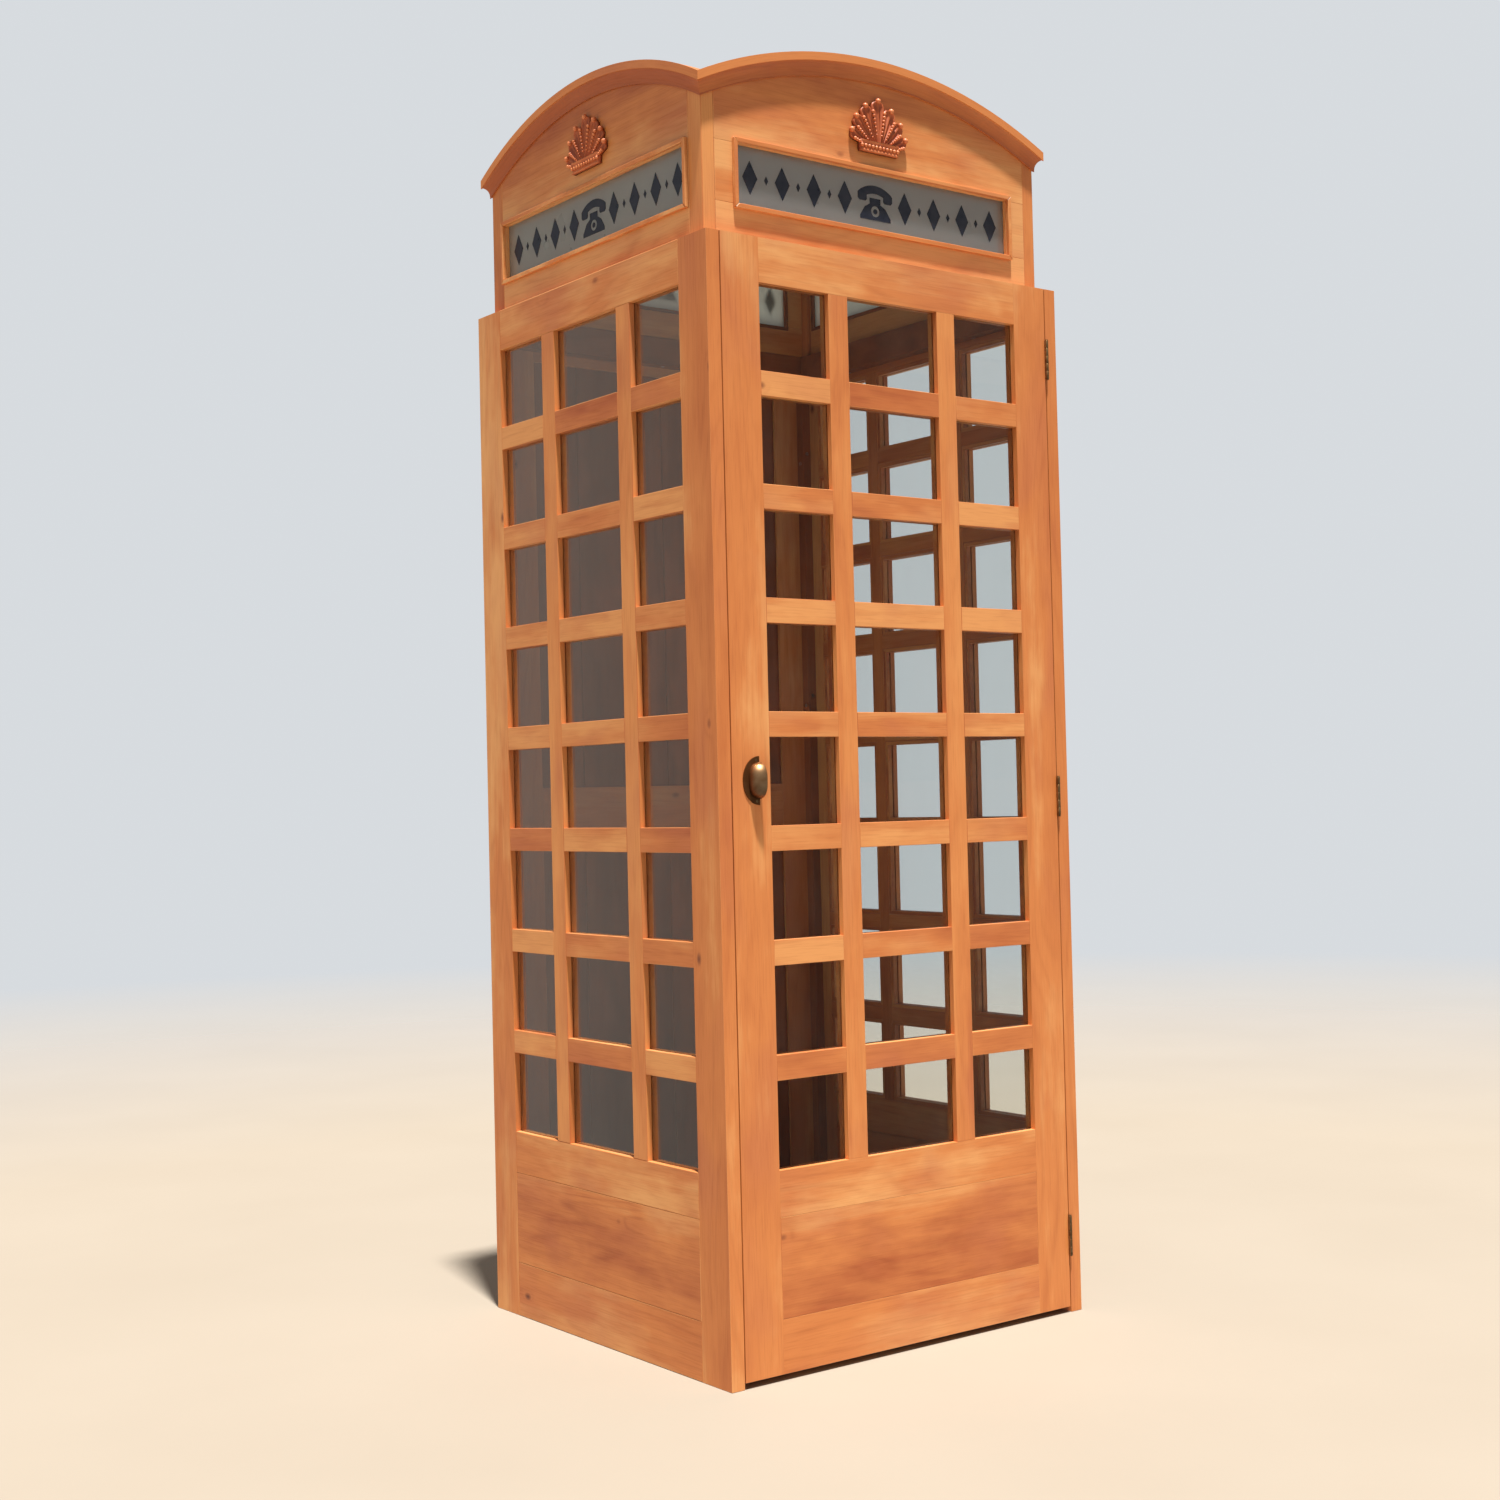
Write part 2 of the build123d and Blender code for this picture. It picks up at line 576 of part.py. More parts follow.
def fascia(face, half_width, post, sign_half):
    """Four boards round the sign: a rail below, two uprights, and an arched board above."""
    radius = arch_radius(half_width)
    board_half = half_width - post
    upright = board_half - sign_half
    with BuildSketch(face.offset(-FASCIA_T)) as outline:
        with Locations((0, (SIGN_TOP + CORNICE_TOP) / 2)):
            Rectangle(2 * board_half, CORNICE_TOP - SIGN_TOP)
        with Locations((0, CORNICE_TOP - radius)):
            Circle(radius - CORNICE_CAP, mode=Mode.INTERSECT)
    extrude(outline.sketch, amount=FASCIA_T)
    band(face, [0], 2 * board_half, WALL_HEIGHT, SIGN_BOTTOM, 0, FASCIA_T)
    spots = [side * (board_half - upright / 2) for side in (-1, 1)]
    low = SIGN_BOTTOM + HEAD_JOINT
    high = SIGN_TOP - HEAD_JOINT
    band(face, spots, upright, low, high, 0, FASCIA_T)
    wide = 2 * (sign_half + REBATE)
    low = SIGN_BOTTOM - REBATE
    high = SIGN_TOP + REBATE
    band(face, [0], wide, low, high, SIGN_GLASS_DEPTH, FASCIA_T, Mode.SUBTRACT)


def cornice(face, half_width, distance):
    """A cove moulding that follows the arch and caps the fascia, mitred at both corners."""
    radius = arch_radius(half_width)
    out = face.z_dir
    section_plane = Plane(origin=face.origin, x_dir=out, z_dir=out.cross(Vector(0, 0, 1)))
    low = CORNICE_TOP - CORNICE_DEPTH
    fillet_low = CORNICE_TOP - CORNICE_FILLET
    cove_out = CORNICE_OVERHANG - COVE_STEP
    with BuildSketch(section_plane) as section:
        with BuildLine():
            Polyline(
                (cove_out, fillet_low),
                (CORNICE_OVERHANG, fillet_low),
                (CORNICE_OVERHANG, CORNICE_TOP),
                (-FASCIA_T, CORNICE_TOP),
                (-FASCIA_T, CORNICE_TOP - CORNICE_CAP),
                (0, CORNICE_TOP - CORNICE_CAP),
                (0, low),
                (NOSE, low),
                (NOSE, low + NOSE),
            )
            RadiusArc((NOSE, low + NOSE), (cove_out, fillet_low), COVE_RADIUS)
        make_face()
    centre = face.origin + Vector(0, 0, CORNICE_TOP - radius)
    revolve(section.sketch, axis=Axis(centre, out), revolution_arc=360)
    mitre_out = CORNICE_OVERHANG + PAST
    mitre_in = FASCIA_T + PAST
    with BuildSketch(Plane(origin=(0, 0, WALL_HEIGHT), x_dir=face.x_dir, z_dir=(0, 0, 1))) as wedge:
        with BuildLine():
            Polyline(
                (-half_width - mitre_out, -distance - mitre_out),
                (half_width + mitre_out, -distance - mitre_out),
                (half_width - mitre_in, -distance + mitre_in),
                (-half_width + mitre_in, -distance + mitre_in),
                close=True,
            )
        make_face()
    extrude(wedge.sketch, amount=CORNICE_TOP - WALL_HEIGHT + PAST, mode=Mode.INTERSECT)


def ornament(face):
    """A carved fan of petals springing from a base band."""
    width, height = ORNAMENT_BAND
    root = ORNAMENT_BOTTOM + height
    with BuildSketch(face) as outline:
        with Locations((0, ORNAMENT_BOTTOM + height / 2)):
            Rectangle(width, height)
        for number in range(PETALS):
            turn = number - (PETALS - 1) / 2
            share = abs(turn) / ((PETALS - 1) / 2)
            length = PETAL_LONG + (PETAL_SHORT - PETAL_LONG) * share
            with Locations(Location((0, root, 0), (0, 0, 90 - turn * PETAL_STEP))):
                with Locations((length / 2, 0)):
                    SlotOverall(length, PETAL_WIDTH)
    extrude(outline.sketch, amount=ORNAMENT_T)


for name, (face, half_width, post, sign_half) in HEAD_SIDES.items():
    distance = abs(face.origin.X) + abs(face.origin.Y)
    with BuildPart() as fascia_board:
        fascia(face, half_width, post, sign_half)
    keep(fascia_board, f"{name}_fascia")
    with BuildPart() as cornice_length:
        cornice(face, half_width, distance)
    keep(cornice_length, f"{name}_cornice")
    with BuildPart() as carving:
        ornament(face)
    keep(carving, f"{name}_ornament")

with BuildPart() as sign_frames:
    for face, _, _, sign_half in HEAD_SIDES.values():
        low = SIGN_BOTTOM - SIGN_MOULD_W
        high = SIGN_TOP + SIGN_MOULD_W
        wide = 2 * (sign_half + SIGN_MOULD_W)
        band(face, [0], wide, low, high, -SIGN_MOULD_T, 0)
        band(face, [0], 2 * sign_half, SIGN_BOTTOM, SIGN_TOP, -SIGN_MOULD_T, 0, Mode.SUBTRACT)
        corners = [
            Location((side * sign_half, height, 0), (0, 0, turn * side))
            for side in (-1, 1)
            for height, turn in ((SIGN_BOTTOM, -45), (SIGN_TOP, 45))
        ]
        with Locations(*[face.location * corner for corner in corners]):
            Box(4 * SIGN_MOULD_W, HEAD_JOINT, 4 * SIGN_MOULD_T, mode=Mode.SUBTRACT)
keep(sign_frames, "sign_frames")

with BuildPart() as sign_panes:
    for face, _, _, sign_half in HEAD_SIDES.values():
        margin = REBATE - GLASS_PLAY
        wide = 2 * (sign_half + margin)
        behind = SIGN_GLASS_DEPTH + SIGN_GLASS_T
        band(face, [0], wide, SIGN_BOTTOM - margin, SIGN_TOP + margin, SIGN_GLASS_DEPTH, behind)
keep(sign_panes, "sign_panes")

with BuildPart() as sign_beads:
    for face, _, _, sign_half in HEAD_SIDES.values():
        front = SIGN_GLASS_DEPTH + SIGN_GLASS_T
        wide = 2 * (sign_half + REBATE)
        band(face, [0], wide, SIGN_BOTTOM - REBATE, SIGN_TOP + REBATE, front, FASCIA_T)
        band(face, [0], 2 * sign_half, SIGN_BOTTOM, SIGN_TOP, front, FASCIA_T, Mode.SUBTRACT)
keep(sign_beads, "sign_beads")

POST_RADIUS = arch_radius(HEAD_HALF_X) - CORNICE_CAP
POST_TOP = CORNICE_TOP - arch_radius(HEAD_HALF_X) + sqrt(POST_RADIUS**2 - HEAD_HALF_X**2)

POST_PLACES = [
    (x, y, (WALL_HEIGHT + POST_TOP) / 2)
    for x in (POST_X / 2 - HEAD_HALF_X, HEAD_HALF_X - POST_X / 2)
    for y in (POST_Y / 2 - HEAD_HALF_Y, HEAD_HALF_Y - POST_Y / 2)
]

with BuildPart() as head_posts:
    with Locations(*POST_PLACES):
        Box(POST_X, POST_Y, POST_TOP - WALL_HEIGHT)
keep(head_posts, "head_posts")

HEAD_SCREW_PLACES = [
    Plane(origin=(x, y, CLEAT_Z), z_dir=(0, 0, -1)).location
    for y in (HEAD_SCREW_IN_Y - HEAD_HALF_Y, HEAD_HALF_Y - HEAD_SCREW_IN_Y)
    for x in HEAD_SCREW_XS
] + [
    Plane(origin=(x, y, CLEAT_Z), z_dir=(0, 0, -1)).location
    for x in (HEAD_SCREW_IN_X - HEAD_HALF_X, HEAD_HALF_X - HEAD_SCREW_IN_X)
    for y in HEAD_SCREW_YS
]

with BuildPart() as head_screws:
    screws(HEAD_SCREW_PLACES, HEAD_SCREW)
keep(head_screws, "head_screws")

# ---------------------------------------------------------------- roof

def roof_layer(outer_drop, inner_drop):
    """A doubly curved layer between two depths below the roof's top surface."""
    centre_z = ROOF_TOP - ROOF_RADIUS_X
    with BuildSketch(Plane.XZ) as section:
        with Locations((0, centre_z)):
            Circle(ROOF_RADIUS_X - outer_drop)
            Circle(ROOF_RADIUS_X - inner_drop, mode=Mode.SUBTRACT)
        with Locations((0, ROOF_TOP)):
            Rectangle(2 * HEAD_HALF_X, 2 * ARCH_RISE + 2 * inner_drop, mode=Mode.INTERSECT)
    axle = Axis((0, 0, ROOF_TOP - ROOF_RADIUS_Y), (1, 0, 0))
    revolve(section.sketch, axis=axle, revolution_arc=360)


ROOF_HALF_X = HEAD_HALF_X - FASCIA_T
ROOF_HALF_Y = HEAD_HALF_Y - FASCIA_T

with BuildPart() as roof_dome:
    roof_layer(0, ROOF_T)
    corner = (ROOF_HALF_X, ROOF_HALF_Y, ROOF_TOP + PAST)
    block((-ROOF_HALF_X, -ROOF_HALF_Y, WALL_HEIGHT), corner, Mode.INTERSECT)
    with Locations(*POST_PLACES):
        Box(POST_X, POST_Y, ROOF_TOP - WALL_HEIGHT, mode=Mode.SUBTRACT)
keep(roof_dome, "roof_dome")

with BuildPart() as roof_ribs:
    roof_layer(ROOF_T, ROOF_T + RIB_DEPTH)
    with BuildPart(mode=Mode.INTERSECT):
        for x in RIB_XS:
            low = (x - RIB_T / 2, -ROOF_HALF_Y, WALL_HEIGHT)
            block(low, (x + RIB_T / 2, ROOF_HALF_Y, ROOF_TOP))
keep(roof_ribs, "roof_ribs")
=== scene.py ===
"""The look of a timber telephone booth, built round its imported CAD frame. Metres, +Z up.

The CAD nodes keep their shapes and get eased edges and procedural materials. New pieces are the
carved fans, the marks on the signs and the rolled lip of the cup pull.
"""

import math

import bmesh
import bpy
from mathutils import Matrix, Vector


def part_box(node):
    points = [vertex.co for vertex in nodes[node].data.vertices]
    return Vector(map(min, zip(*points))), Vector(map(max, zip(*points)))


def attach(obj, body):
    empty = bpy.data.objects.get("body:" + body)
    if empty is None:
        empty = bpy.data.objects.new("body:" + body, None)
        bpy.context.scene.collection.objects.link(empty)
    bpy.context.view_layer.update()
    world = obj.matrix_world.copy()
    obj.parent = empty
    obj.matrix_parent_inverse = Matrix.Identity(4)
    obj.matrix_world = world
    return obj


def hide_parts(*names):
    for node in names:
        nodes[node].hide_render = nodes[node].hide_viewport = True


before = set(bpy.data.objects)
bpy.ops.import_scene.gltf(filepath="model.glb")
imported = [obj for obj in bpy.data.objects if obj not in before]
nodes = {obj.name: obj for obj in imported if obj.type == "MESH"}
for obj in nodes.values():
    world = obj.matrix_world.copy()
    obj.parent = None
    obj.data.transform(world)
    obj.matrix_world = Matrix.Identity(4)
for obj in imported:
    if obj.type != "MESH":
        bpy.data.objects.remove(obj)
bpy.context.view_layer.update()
scene = bpy.context.scene

# ---- Edges ----
WELD_DISTANCE = 0.00005
EASED_BOARD = 0.0014
EASED_BAR = 0.0009
EASED_METAL = 0.0003
FLAT_ANGLE = math.radians(0.5)
SHARP_EDGE = math.radians(34)

# ---- Head ----
ARCH_RISE = 0.100
CORNICE_FILLET = 0.015
CORNICE_TURN = 0.001                   # half the width over which the fillet's painted light turns to the cove's painted shade
FASCIA_PAINTED_LIGHT = 0.20                     # how far below an arch's crown the fascia is palest, as painted light
FASCIA_PAINTED_SHADE = 0.06                      # and how far below it is reddest, as painted shade under the cornice
SIDES = {
    "front": Vector((0, -1, 0)),
    "back": Vector((0, 1, 0)),
    "left": Vector((-1, 0, 0)),
    "right": Vector((1, 0, 0)),
}

# ---- Timber tones, from paler to redder ----
CREAM = (0.760, 0.370, 0.142)
PALE = (0.710, 0.295, 0.096)
TAN = (0.640, 0.224, 0.065)
WARM = (0.560, 0.172, 0.046)
RED = (0.430, 0.108, 0.031)
ROSE = (0.480, 0.140, 0.064)
KNOT = (0.175, 0.048, 0.020)


# ------------------------------------------------------------------ shader node helpers

def new_material(name):
    """A material with one Principled shader, as (material, node tree, shader)."""
    material = bpy.data.materials.new(name)
    material.use_nodes = True
    tree = material.node_tree
    return material, tree, tree.nodes["Principled BSDF"]


def plug(tree, socket, value):
    """Link an output to a socket, or set the socket's own value."""
    if isinstance(value, bpy.types.NodeSocket):
        tree.links.new(value, socket)
    else:
        socket.default_value = value


def add_node(tree, kind, inputs, **settings):
    """A node with some settings, whose inputs are values or other nodes' outputs."""
    made = tree.nodes.new(kind)
    for key, value in settings.items():
        setattr(made, key, value)
    for key, value in inputs.items():
        plug(tree, made.inputs[key], value)
    return made


def maths(tree, operation, a, b=0.0):
    """The result of a sum on one or two numbers."""
    return add_node(tree, "ShaderNodeMath", {0: a, 1: b}, operation=operation).outputs[0]


def vector_maths(tree, operation, a, b):
    """The result of a sum on two vectors."""
    made = add_node(tree, "ShaderNodeVectorMath", {0: a, 1: b}, operation=operation)
    return made.outputs[0]


def remap(tree, value, from_low, from_high, to_low, to_high):
    """One range of values turned into another, and held at its ends."""
    inputs = {0: value, 1: from_low, 2: from_high, 3: to_low, 4: to_high}
    return add_node(tree, "ShaderNodeMapRange", inputs).outputs[0]


def blend_colours(tree, factor, a, b, how="MIX"):
    """A share of the second colour over the first."""
    inputs = {0: factor, 6: opaque(a), 7: opaque(b)}
    made = add_node(tree, "ShaderNodeMix", inputs, data_type="RGBA", blend_type=how)
    return made.outputs[2]


def opaque(colour):
    """A colour as a socket takes it: an output as it is, three numbers with an alpha of 1."""
    return colour if isinstance(colour, bpy.types.NodeSocket) else (*colour, 1.0)


def ramp(tree, factor, stops):
    """A colour ramp through (position, colour) stops."""
    made = add_node(tree, "ShaderNodeValToRGB", {0: factor})
    elements = made.color_ramp.elements
    while len(elements) < len(stops):
        elements.new(0.5)
    for element, (position, colour) in zip(elements, stops):
        element.position = position
        element.color = opaque(colour)
    return made.outputs[0]


def noise(tree, place, scale, detail=2.0, distortion=0.0):
    """A cloudy pattern, mostly between 0.3 and 0.7."""
    inputs = {"Vector": place, "Scale": scale, "Detail": detail, "Distortion": distortion}
    return add_node(tree, "ShaderNodeTexNoise", inputs).outputs[0]


def bump(tree, shader, height, strength, distance):
    """Make a surface look raised where a pattern is high."""
    inputs = {"Height": height, "Strength": strength, "Distance": distance}
    made = add_node(tree, "ShaderNodeBump", inputs)
    tree.links.new(made.outputs[0], shader.inputs["Normal"])


def object_place(tree):
    """Where a point of a piece is at rest, in the shared frame."""
    return add_node(tree, "ShaderNodeTexCoord", {}).outputs["Object"]


def stretched(tree, place, share):
    """Coordinates in which a pattern is drawn out along the first direction."""
    return vector_maths(tree, "MULTIPLY", place, (share, 1.0, 1.0))


# ------------------------------------------------------------------ timber

def straight_place(axis):
    """Coordinates whose first direction runs along a world axis."""
    def build(tree):
        place = object_place(tree)
        if axis == "X":
            return place
        split = add_node(tree, "ShaderNodeSeparateXYZ", {0: place})
        order = {"Y": "YXZ", "Z": "ZXY"}[axis]
        inputs = {index: split.outputs[letter] for index, letter in enumerate(order)}
        return add_node(tree, "ShaderNodeCombineXYZ", inputs).outputs[0]
    return build


def arch_radius(half_chord):
    """Radius of an arch's top edge from half of its chord."""
    return (half_chord ** 2 + ARCH_RISE ** 2) / (2 * ARCH_RISE)


def arched_place(axis, half_chord, crown):
    """Coordinates whose first direction follows an arch that spans a world axis."""
    radius = arch_radius(half_chord)

    def build(tree):
        split = add_node(tree, "ShaderNodeSeparateXYZ", {0: object_place(tree)})
        span = split.outputs[axis]
        depth = split.outputs["Y" if axis == "X" else "X"]
        height = maths(tree, "SUBTRACT", split.outputs["Z"], crown - radius)
        angle = maths(tree, "ARCTAN2", span, height)
        across = maths(tree, "POWER", span, 2.0)
        upward = maths(tree, "POWER", height, 2.0)
        inputs = {
            0: maths(tree, "MULTIPLY", angle, radius),
            1: depth,
            2: maths(tree, "SQRT", maths(tree, "ADD", across, upward)),
        }
        return add_node(tree, "ShaderNodeCombineXYZ", inputs).outputs[0]
    return build


# Patterns, as how far they are drawn out along the timber, scale, detail and distortion. A
# smaller first number makes a longer pattern.
CONTOUR = (0.13, 5.0, 2.0, 0.3)
SAPWOOD = (0.11, 7.5, 1.5, 0.3)
BLOTCHES = (0.40, 12.0, 3.0, 0.3)
MOTTLE = (0.50, 46.0, 2.5, 0.0)
STREAKS = (0.06, 75.0, 2.0, 0.0)
FIBRES = (0.04, 420.0, 3.0, 0.0)
BLUSH = (0.55, 7.0, 2.0, 0.4)

BOARD_SHIFT = (31.0, 17.0, 23.0)       # how far apart two boards are cut from the pattern
KNOT_CELL_STRETCH = 0.6
KNOT_CELL_SCALE = 11.0
SWIRL_REACH = 0.34                     # reaches round a knot are shares of its cell
KNOT_CORE = 0.020
KNOT_RIM = 0.090
SWIRL_BEND = 0.14                      # how far a knot pushes the growth rings aside
RING_COUNT = 120.0
RING_SHARPNESS = 4.0
PAINTED_SHADE_SHIFT = 0.42                       # how much paler the painted light makes the timber, and how much redder the painted shade
MIDDLE_TONE = 0.42
SWIRL_REDDER = 0.50                    # how much redder the timber round a knot is
TIMBER_BUMP = (0.28, 0.0003)           # strength and depth
RING_TINT = (0.58, 0.40, 0.30)
FIBRE_TINT = (0.74, 0.62, 0.52)
OIL_WEIGHT = 0.22
OIL_ROUGHNESS = 0.24


def grain(tree, place, pattern):
    """Noise that is drawn out along the timber."""
    share, scale, detail, distortion = pattern
    return noise(tree, stretched(tree, place, share), scale, detail, distortion)


def knot_shares(tree, place, clear_share):
    """How much the grain swirls round a knot at each point, and how much it is the knot."""
    inputs = {"Vector": stretched(tree, place, KNOT_CELL_STRETCH), "Scale": KNOT_CELL_SCALE}
    cells = add_node(tree, "ShaderNodeTexVoronoi", inputs)
    distance = cells.outputs["Distance"]
    cell_share = add_node(tree, "ShaderNodeSeparateColor", {0: cells.outputs["Color"]}).outputs[0]
    has_knot = maths(tree, "GREATER_THAN", cell_share, clear_share)
    near = maths(tree, "POWER", remap(tree, distance, 0.0, SWIRL_REACH, 1.0, 0.0), 4.0)
    inside = remap(tree, distance, KNOT_CORE, KNOT_RIM, 1.0, 0.0)
    return maths(tree, "MULTIPLY", near, has_knot), maths(tree, "MULTIPLY", inside, has_knot)


def timber(name, place_along, tones, figure=1.0, knots=0.50, sap_edge=None):
    """Oiled softwood. Every board differs in tone and in its grain.

    tones are three colours, from the paler boards to the redder ones. figure is the strength of
    the growth rings, and knots the share of cells that stay without a knot. The last argument
    gives two heights, between which the timber is painted from pale to red, as painted light
    and painted shade: world heights for straight boards, and distances from the arch's centre
    for arched ones.
    """
    material, tree, shader = new_material(name)
    board = add_node(tree, "ShaderNodeNewGeometry", {}).outputs["Random Per Island"]
    place = place_along(tree)
    height = add_node(tree, "ShaderNodeSeparateXYZ", {0: place}).outputs["Z"]
    shift = vector_maths(tree, "MULTIPLY", board, BOARD_SHIFT)
    place = vector_maths(tree, "ADD", place, shift)

    swirl, in_knot = knot_shares(tree, place, knots)
    contour = grain(tree, place, CONTOUR)
    contour = maths(tree, "ADD", contour, maths(tree, "MULTIPLY", swirl, SWIRL_BEND))
    rings = maths(tree, "SINE", maths(tree, "MULTIPLY", contour, RING_COUNT))
    rings = maths(tree, "POWER", remap(tree, rings, -1.0, 1.0, 0.0, 1.0), RING_SHARPNESS)
    blotches = grain(tree, place, BLOTCHES)
    fibres = grain(tree, place, FIBRES)

    tone = remap(tree, board, 0.0, 1.0, -0.08, 0.46)
    for pattern, low, high, paler, redder in (
        (grain(tree, place, SAPWOOD), 0.38, 0.62, -0.14, 0.40),
        (blotches, 0.30, 0.70, -0.17, 0.27),
        (grain(tree, place, MOTTLE), 0.30, 0.70, -0.05, 0.05),
        (grain(tree, place, STREAKS), 0.30, 0.70, -0.09, 0.11),
    ):
        tone = maths(tree, "ADD", tone, remap(tree, pattern, low, high, paler, redder))
    # Painted light and shade: paler on one side of the two heights, redder on the other.
    if sap_edge:
        tone = maths(tree, "ADD", tone, remap(tree, height, *sap_edge, -PAINTED_SHADE_SHIFT, PAINTED_SHADE_SHIFT))

    pale, middle, red = tones
    colour = ramp(tree, tone, [(0.0, pale), (MIDDLE_TONE, middle), (1.0, red)])
    blush_share = remap(tree, grain(tree, place, BLUSH), 0.52, 0.72, 0.0, 0.42)
    colour = blend_colours(tree, blush_share, colour, ROSE)
    ring_share = remap(tree, blotches, 0.38, 0.62, 0.04, 0.19 * figure)
    ring_share = maths(tree, "MULTIPLY", rings, ring_share)
    colour = blend_colours(tree, ring_share, colour, RING_TINT, "MULTIPLY")
    fibre_share = remap(tree, fibres, 0.48, 0.75, 0.0, 0.42)
    colour = blend_colours(tree, fibre_share, colour, FIBRE_TINT, "MULTIPLY")
    colour = blend_colours(tree, maths(tree, "MULTIPLY", swirl, SWIRL_REDDER), colour, RED)
    colour = blend_colours(tree, in_knot, colour, KNOT)
    plug(tree, shader.inputs["Base Color"], colour)

    plug(tree, shader.inputs["Roughness"], remap(tree, fibres, 0.3, 0.7, 0.38, 0.54))
    shader.inputs["Coat Weight"].default_value = OIL_WEIGHT
    shader.inputs["Coat Roughness"].default_value = OIL_ROUGHNESS
    relief = maths(tree, "ADD", fibres, maths(tree, "MULTIPLY", rings, 0.25))
    bump(tree, shader, relief, *TIMBER_BUMP)
    return material


# ------------------------------------------------------------------ glass, metal, paint

def mixed_shader(tree, share, first, second):
    """A share of the second shader over the first, from node to node."""
    inputs = {0: share, 1: first.outputs[0], 2: second.outputs[0]}
    return add_node(tree, "ShaderNodeMixShader", inputs)


def show(tree, shown):
    """Make a node the material's surface."""
    tree.links.new(shown.outputs[0], tree.nodes["Material Output"].inputs["Surface"])


PANE_TINT = (0.93, 0.945, 0.94, 1.0)
DUST_TINT = (0.60, 0.57, 0.53, 1.0)
DUST_CLOUD = (9.0, 5.0, 0.6)           # scale, detail and distortion
DUST_WIPES = (24.0, 3.0)
WIPE_STRETCH = (1.0, 1.0, 0.12)        # drawn out upwards
DUST_FILM = (0.001, 0.012)             # shares of the cleanest and the dustiest places
# The mirror's warm tint is painted: it stands in for warm surroundings that the panes would mirror.
MIRROR_TINT = (1.0, 0.87, 0.74, 1.0)
MIRROR_ROUGHNESS = 0.012
MIRROR_POWER = 3.8                     # how fast the mirror grows with the slant
MIRROR_GAIN = 3.6


def clear_glass():
    """Thin panes: they let light through unbent, mirror more at a slant, and hold a little dust."""
    material, tree, shader = new_material("pane_glass")
    tree.nodes.remove(shader)
    slant = add_node(tree, "ShaderNodeLayerWeight", {"Blend": 0.5}).outputs["Facing"]
    mirror = maths(tree, "MULTIPLY", maths(tree, "POWER", slant, MIRROR_POWER), MIRROR_GAIN)
    mirror = maths(tree, "MINIMUM", mirror, 1.0)
    dust = noise(tree, object_place(tree), *DUST_CLOUD)
    wiped = vector_maths(tree, "MULTIPLY", object_place(tree), WIPE_STRETCH)
    dust = maths(tree, "MULTIPLY", dust, noise(tree, wiped, *DUST_WIPES))
    film = remap(tree, dust, 0.15, 0.45, *DUST_FILM)

    through = add_node(tree, "ShaderNodeBsdfTransparent", {"Color": PANE_TINT})
    haze = add_node(tree, "ShaderNodeBsdfDiffuse", {"Color": DUST_TINT})
    inputs = {"Color": MIRROR_TINT, "Roughness": MIRROR_ROUGHNESS}
    gloss = add_node(tree, "ShaderNodeBsdfGlossy", inputs)
    dusty = mixed_shader(tree, film, through, haze)
    show(tree, mixed_shader(tree, mirror, dusty, gloss))
    return material


FROST_LOW = (0.215, 0.230, 0.242)
FROST_HIGH = (0.245, 0.260, 0.272)
FROST_GLOW = (0.90, 0.95, 0.97, 1.0)
FROST_GLOW_SHARE = 0.70
FROST_IOR = 7.5                        # high, because the front face shines like a coated one


def frosted_glass():
    """Grey etched glass that glows from the light behind it."""
    material, tree, shader = new_material("sign_glass")
    cloud = noise(tree, object_place(tree), 6.0, 4.0, 0.4)
    tint = ramp(tree, cloud, [(0.3, FROST_LOW), (0.7, FROST_HIGH)])
    plug(tree, shader.inputs["Base Color"], tint)
    plug(tree, shader.inputs["Roughness"], remap(tree, cloud, 0.3, 0.7, 0.26, 0.36))
    shader.inputs["IOR"].default_value = FROST_IOR
    behind = add_node(tree, "ShaderNodeBsdfTranslucent", {"Color": FROST_GLOW})
    show(tree, mixed_shader(tree, FROST_GLOW_SHARE, shader, behind))
    return material


PAINT_THICK = (0.010, 0.013, 0.028)
PAINT_THIN = (0.026, 0.030, 0.050)


def sign_paint():
    """Dark blue-black screen paint with a slightly uneven coat."""
    material, tree, shader = new_material("sign_paint")
    coat = noise(tree, object_place(tree), 60.0, 4.0)
    tint = ramp(tree, coat, [(0.35, PAINT_THICK), (0.7, PAINT_THIN)])
    plug(tree, shader.inputs["Base Color"], tint)
    plug(tree, shader.inputs["Roughness"], remap(tree, coat, 0.3, 0.7, 0.26, 0.42))
    return material


PITS_PER_PATCH = 9.0


def worn_metal(name, dark, bright, low_rough, high_rough, patch_scale):
    """Metal whose dark surface is rubbed bright and smooth in patches."""
    material, tree, shader = new_material(name)
    shader.inputs["Metallic"].default_value = 1.0
    place = object_place(tree)
    rubbed = noise(tree, place, patch_scale, 5.0, 0.5)
    pits = noise(tree, place, patch_scale * PITS_PER_PATCH, 3.0)
    plug(tree, shader.inputs["Base Color"], ramp(tree, rubbed, [(0.36, dark), (0.66, bright)]))
    plug(tree, shader.inputs["Roughness"], remap(tree, rubbed, 0.3, 0.7, high_rough, low_rough))
    bump(tree, shader, pits, 0.25, 0.0002)
    return material


PULL_DARK_DEPTH = 0.001                # how far in front of the door the bronze is darkest
PULL_BRIGHT_DEPTH = 0.016              # and how far in front it is brightest


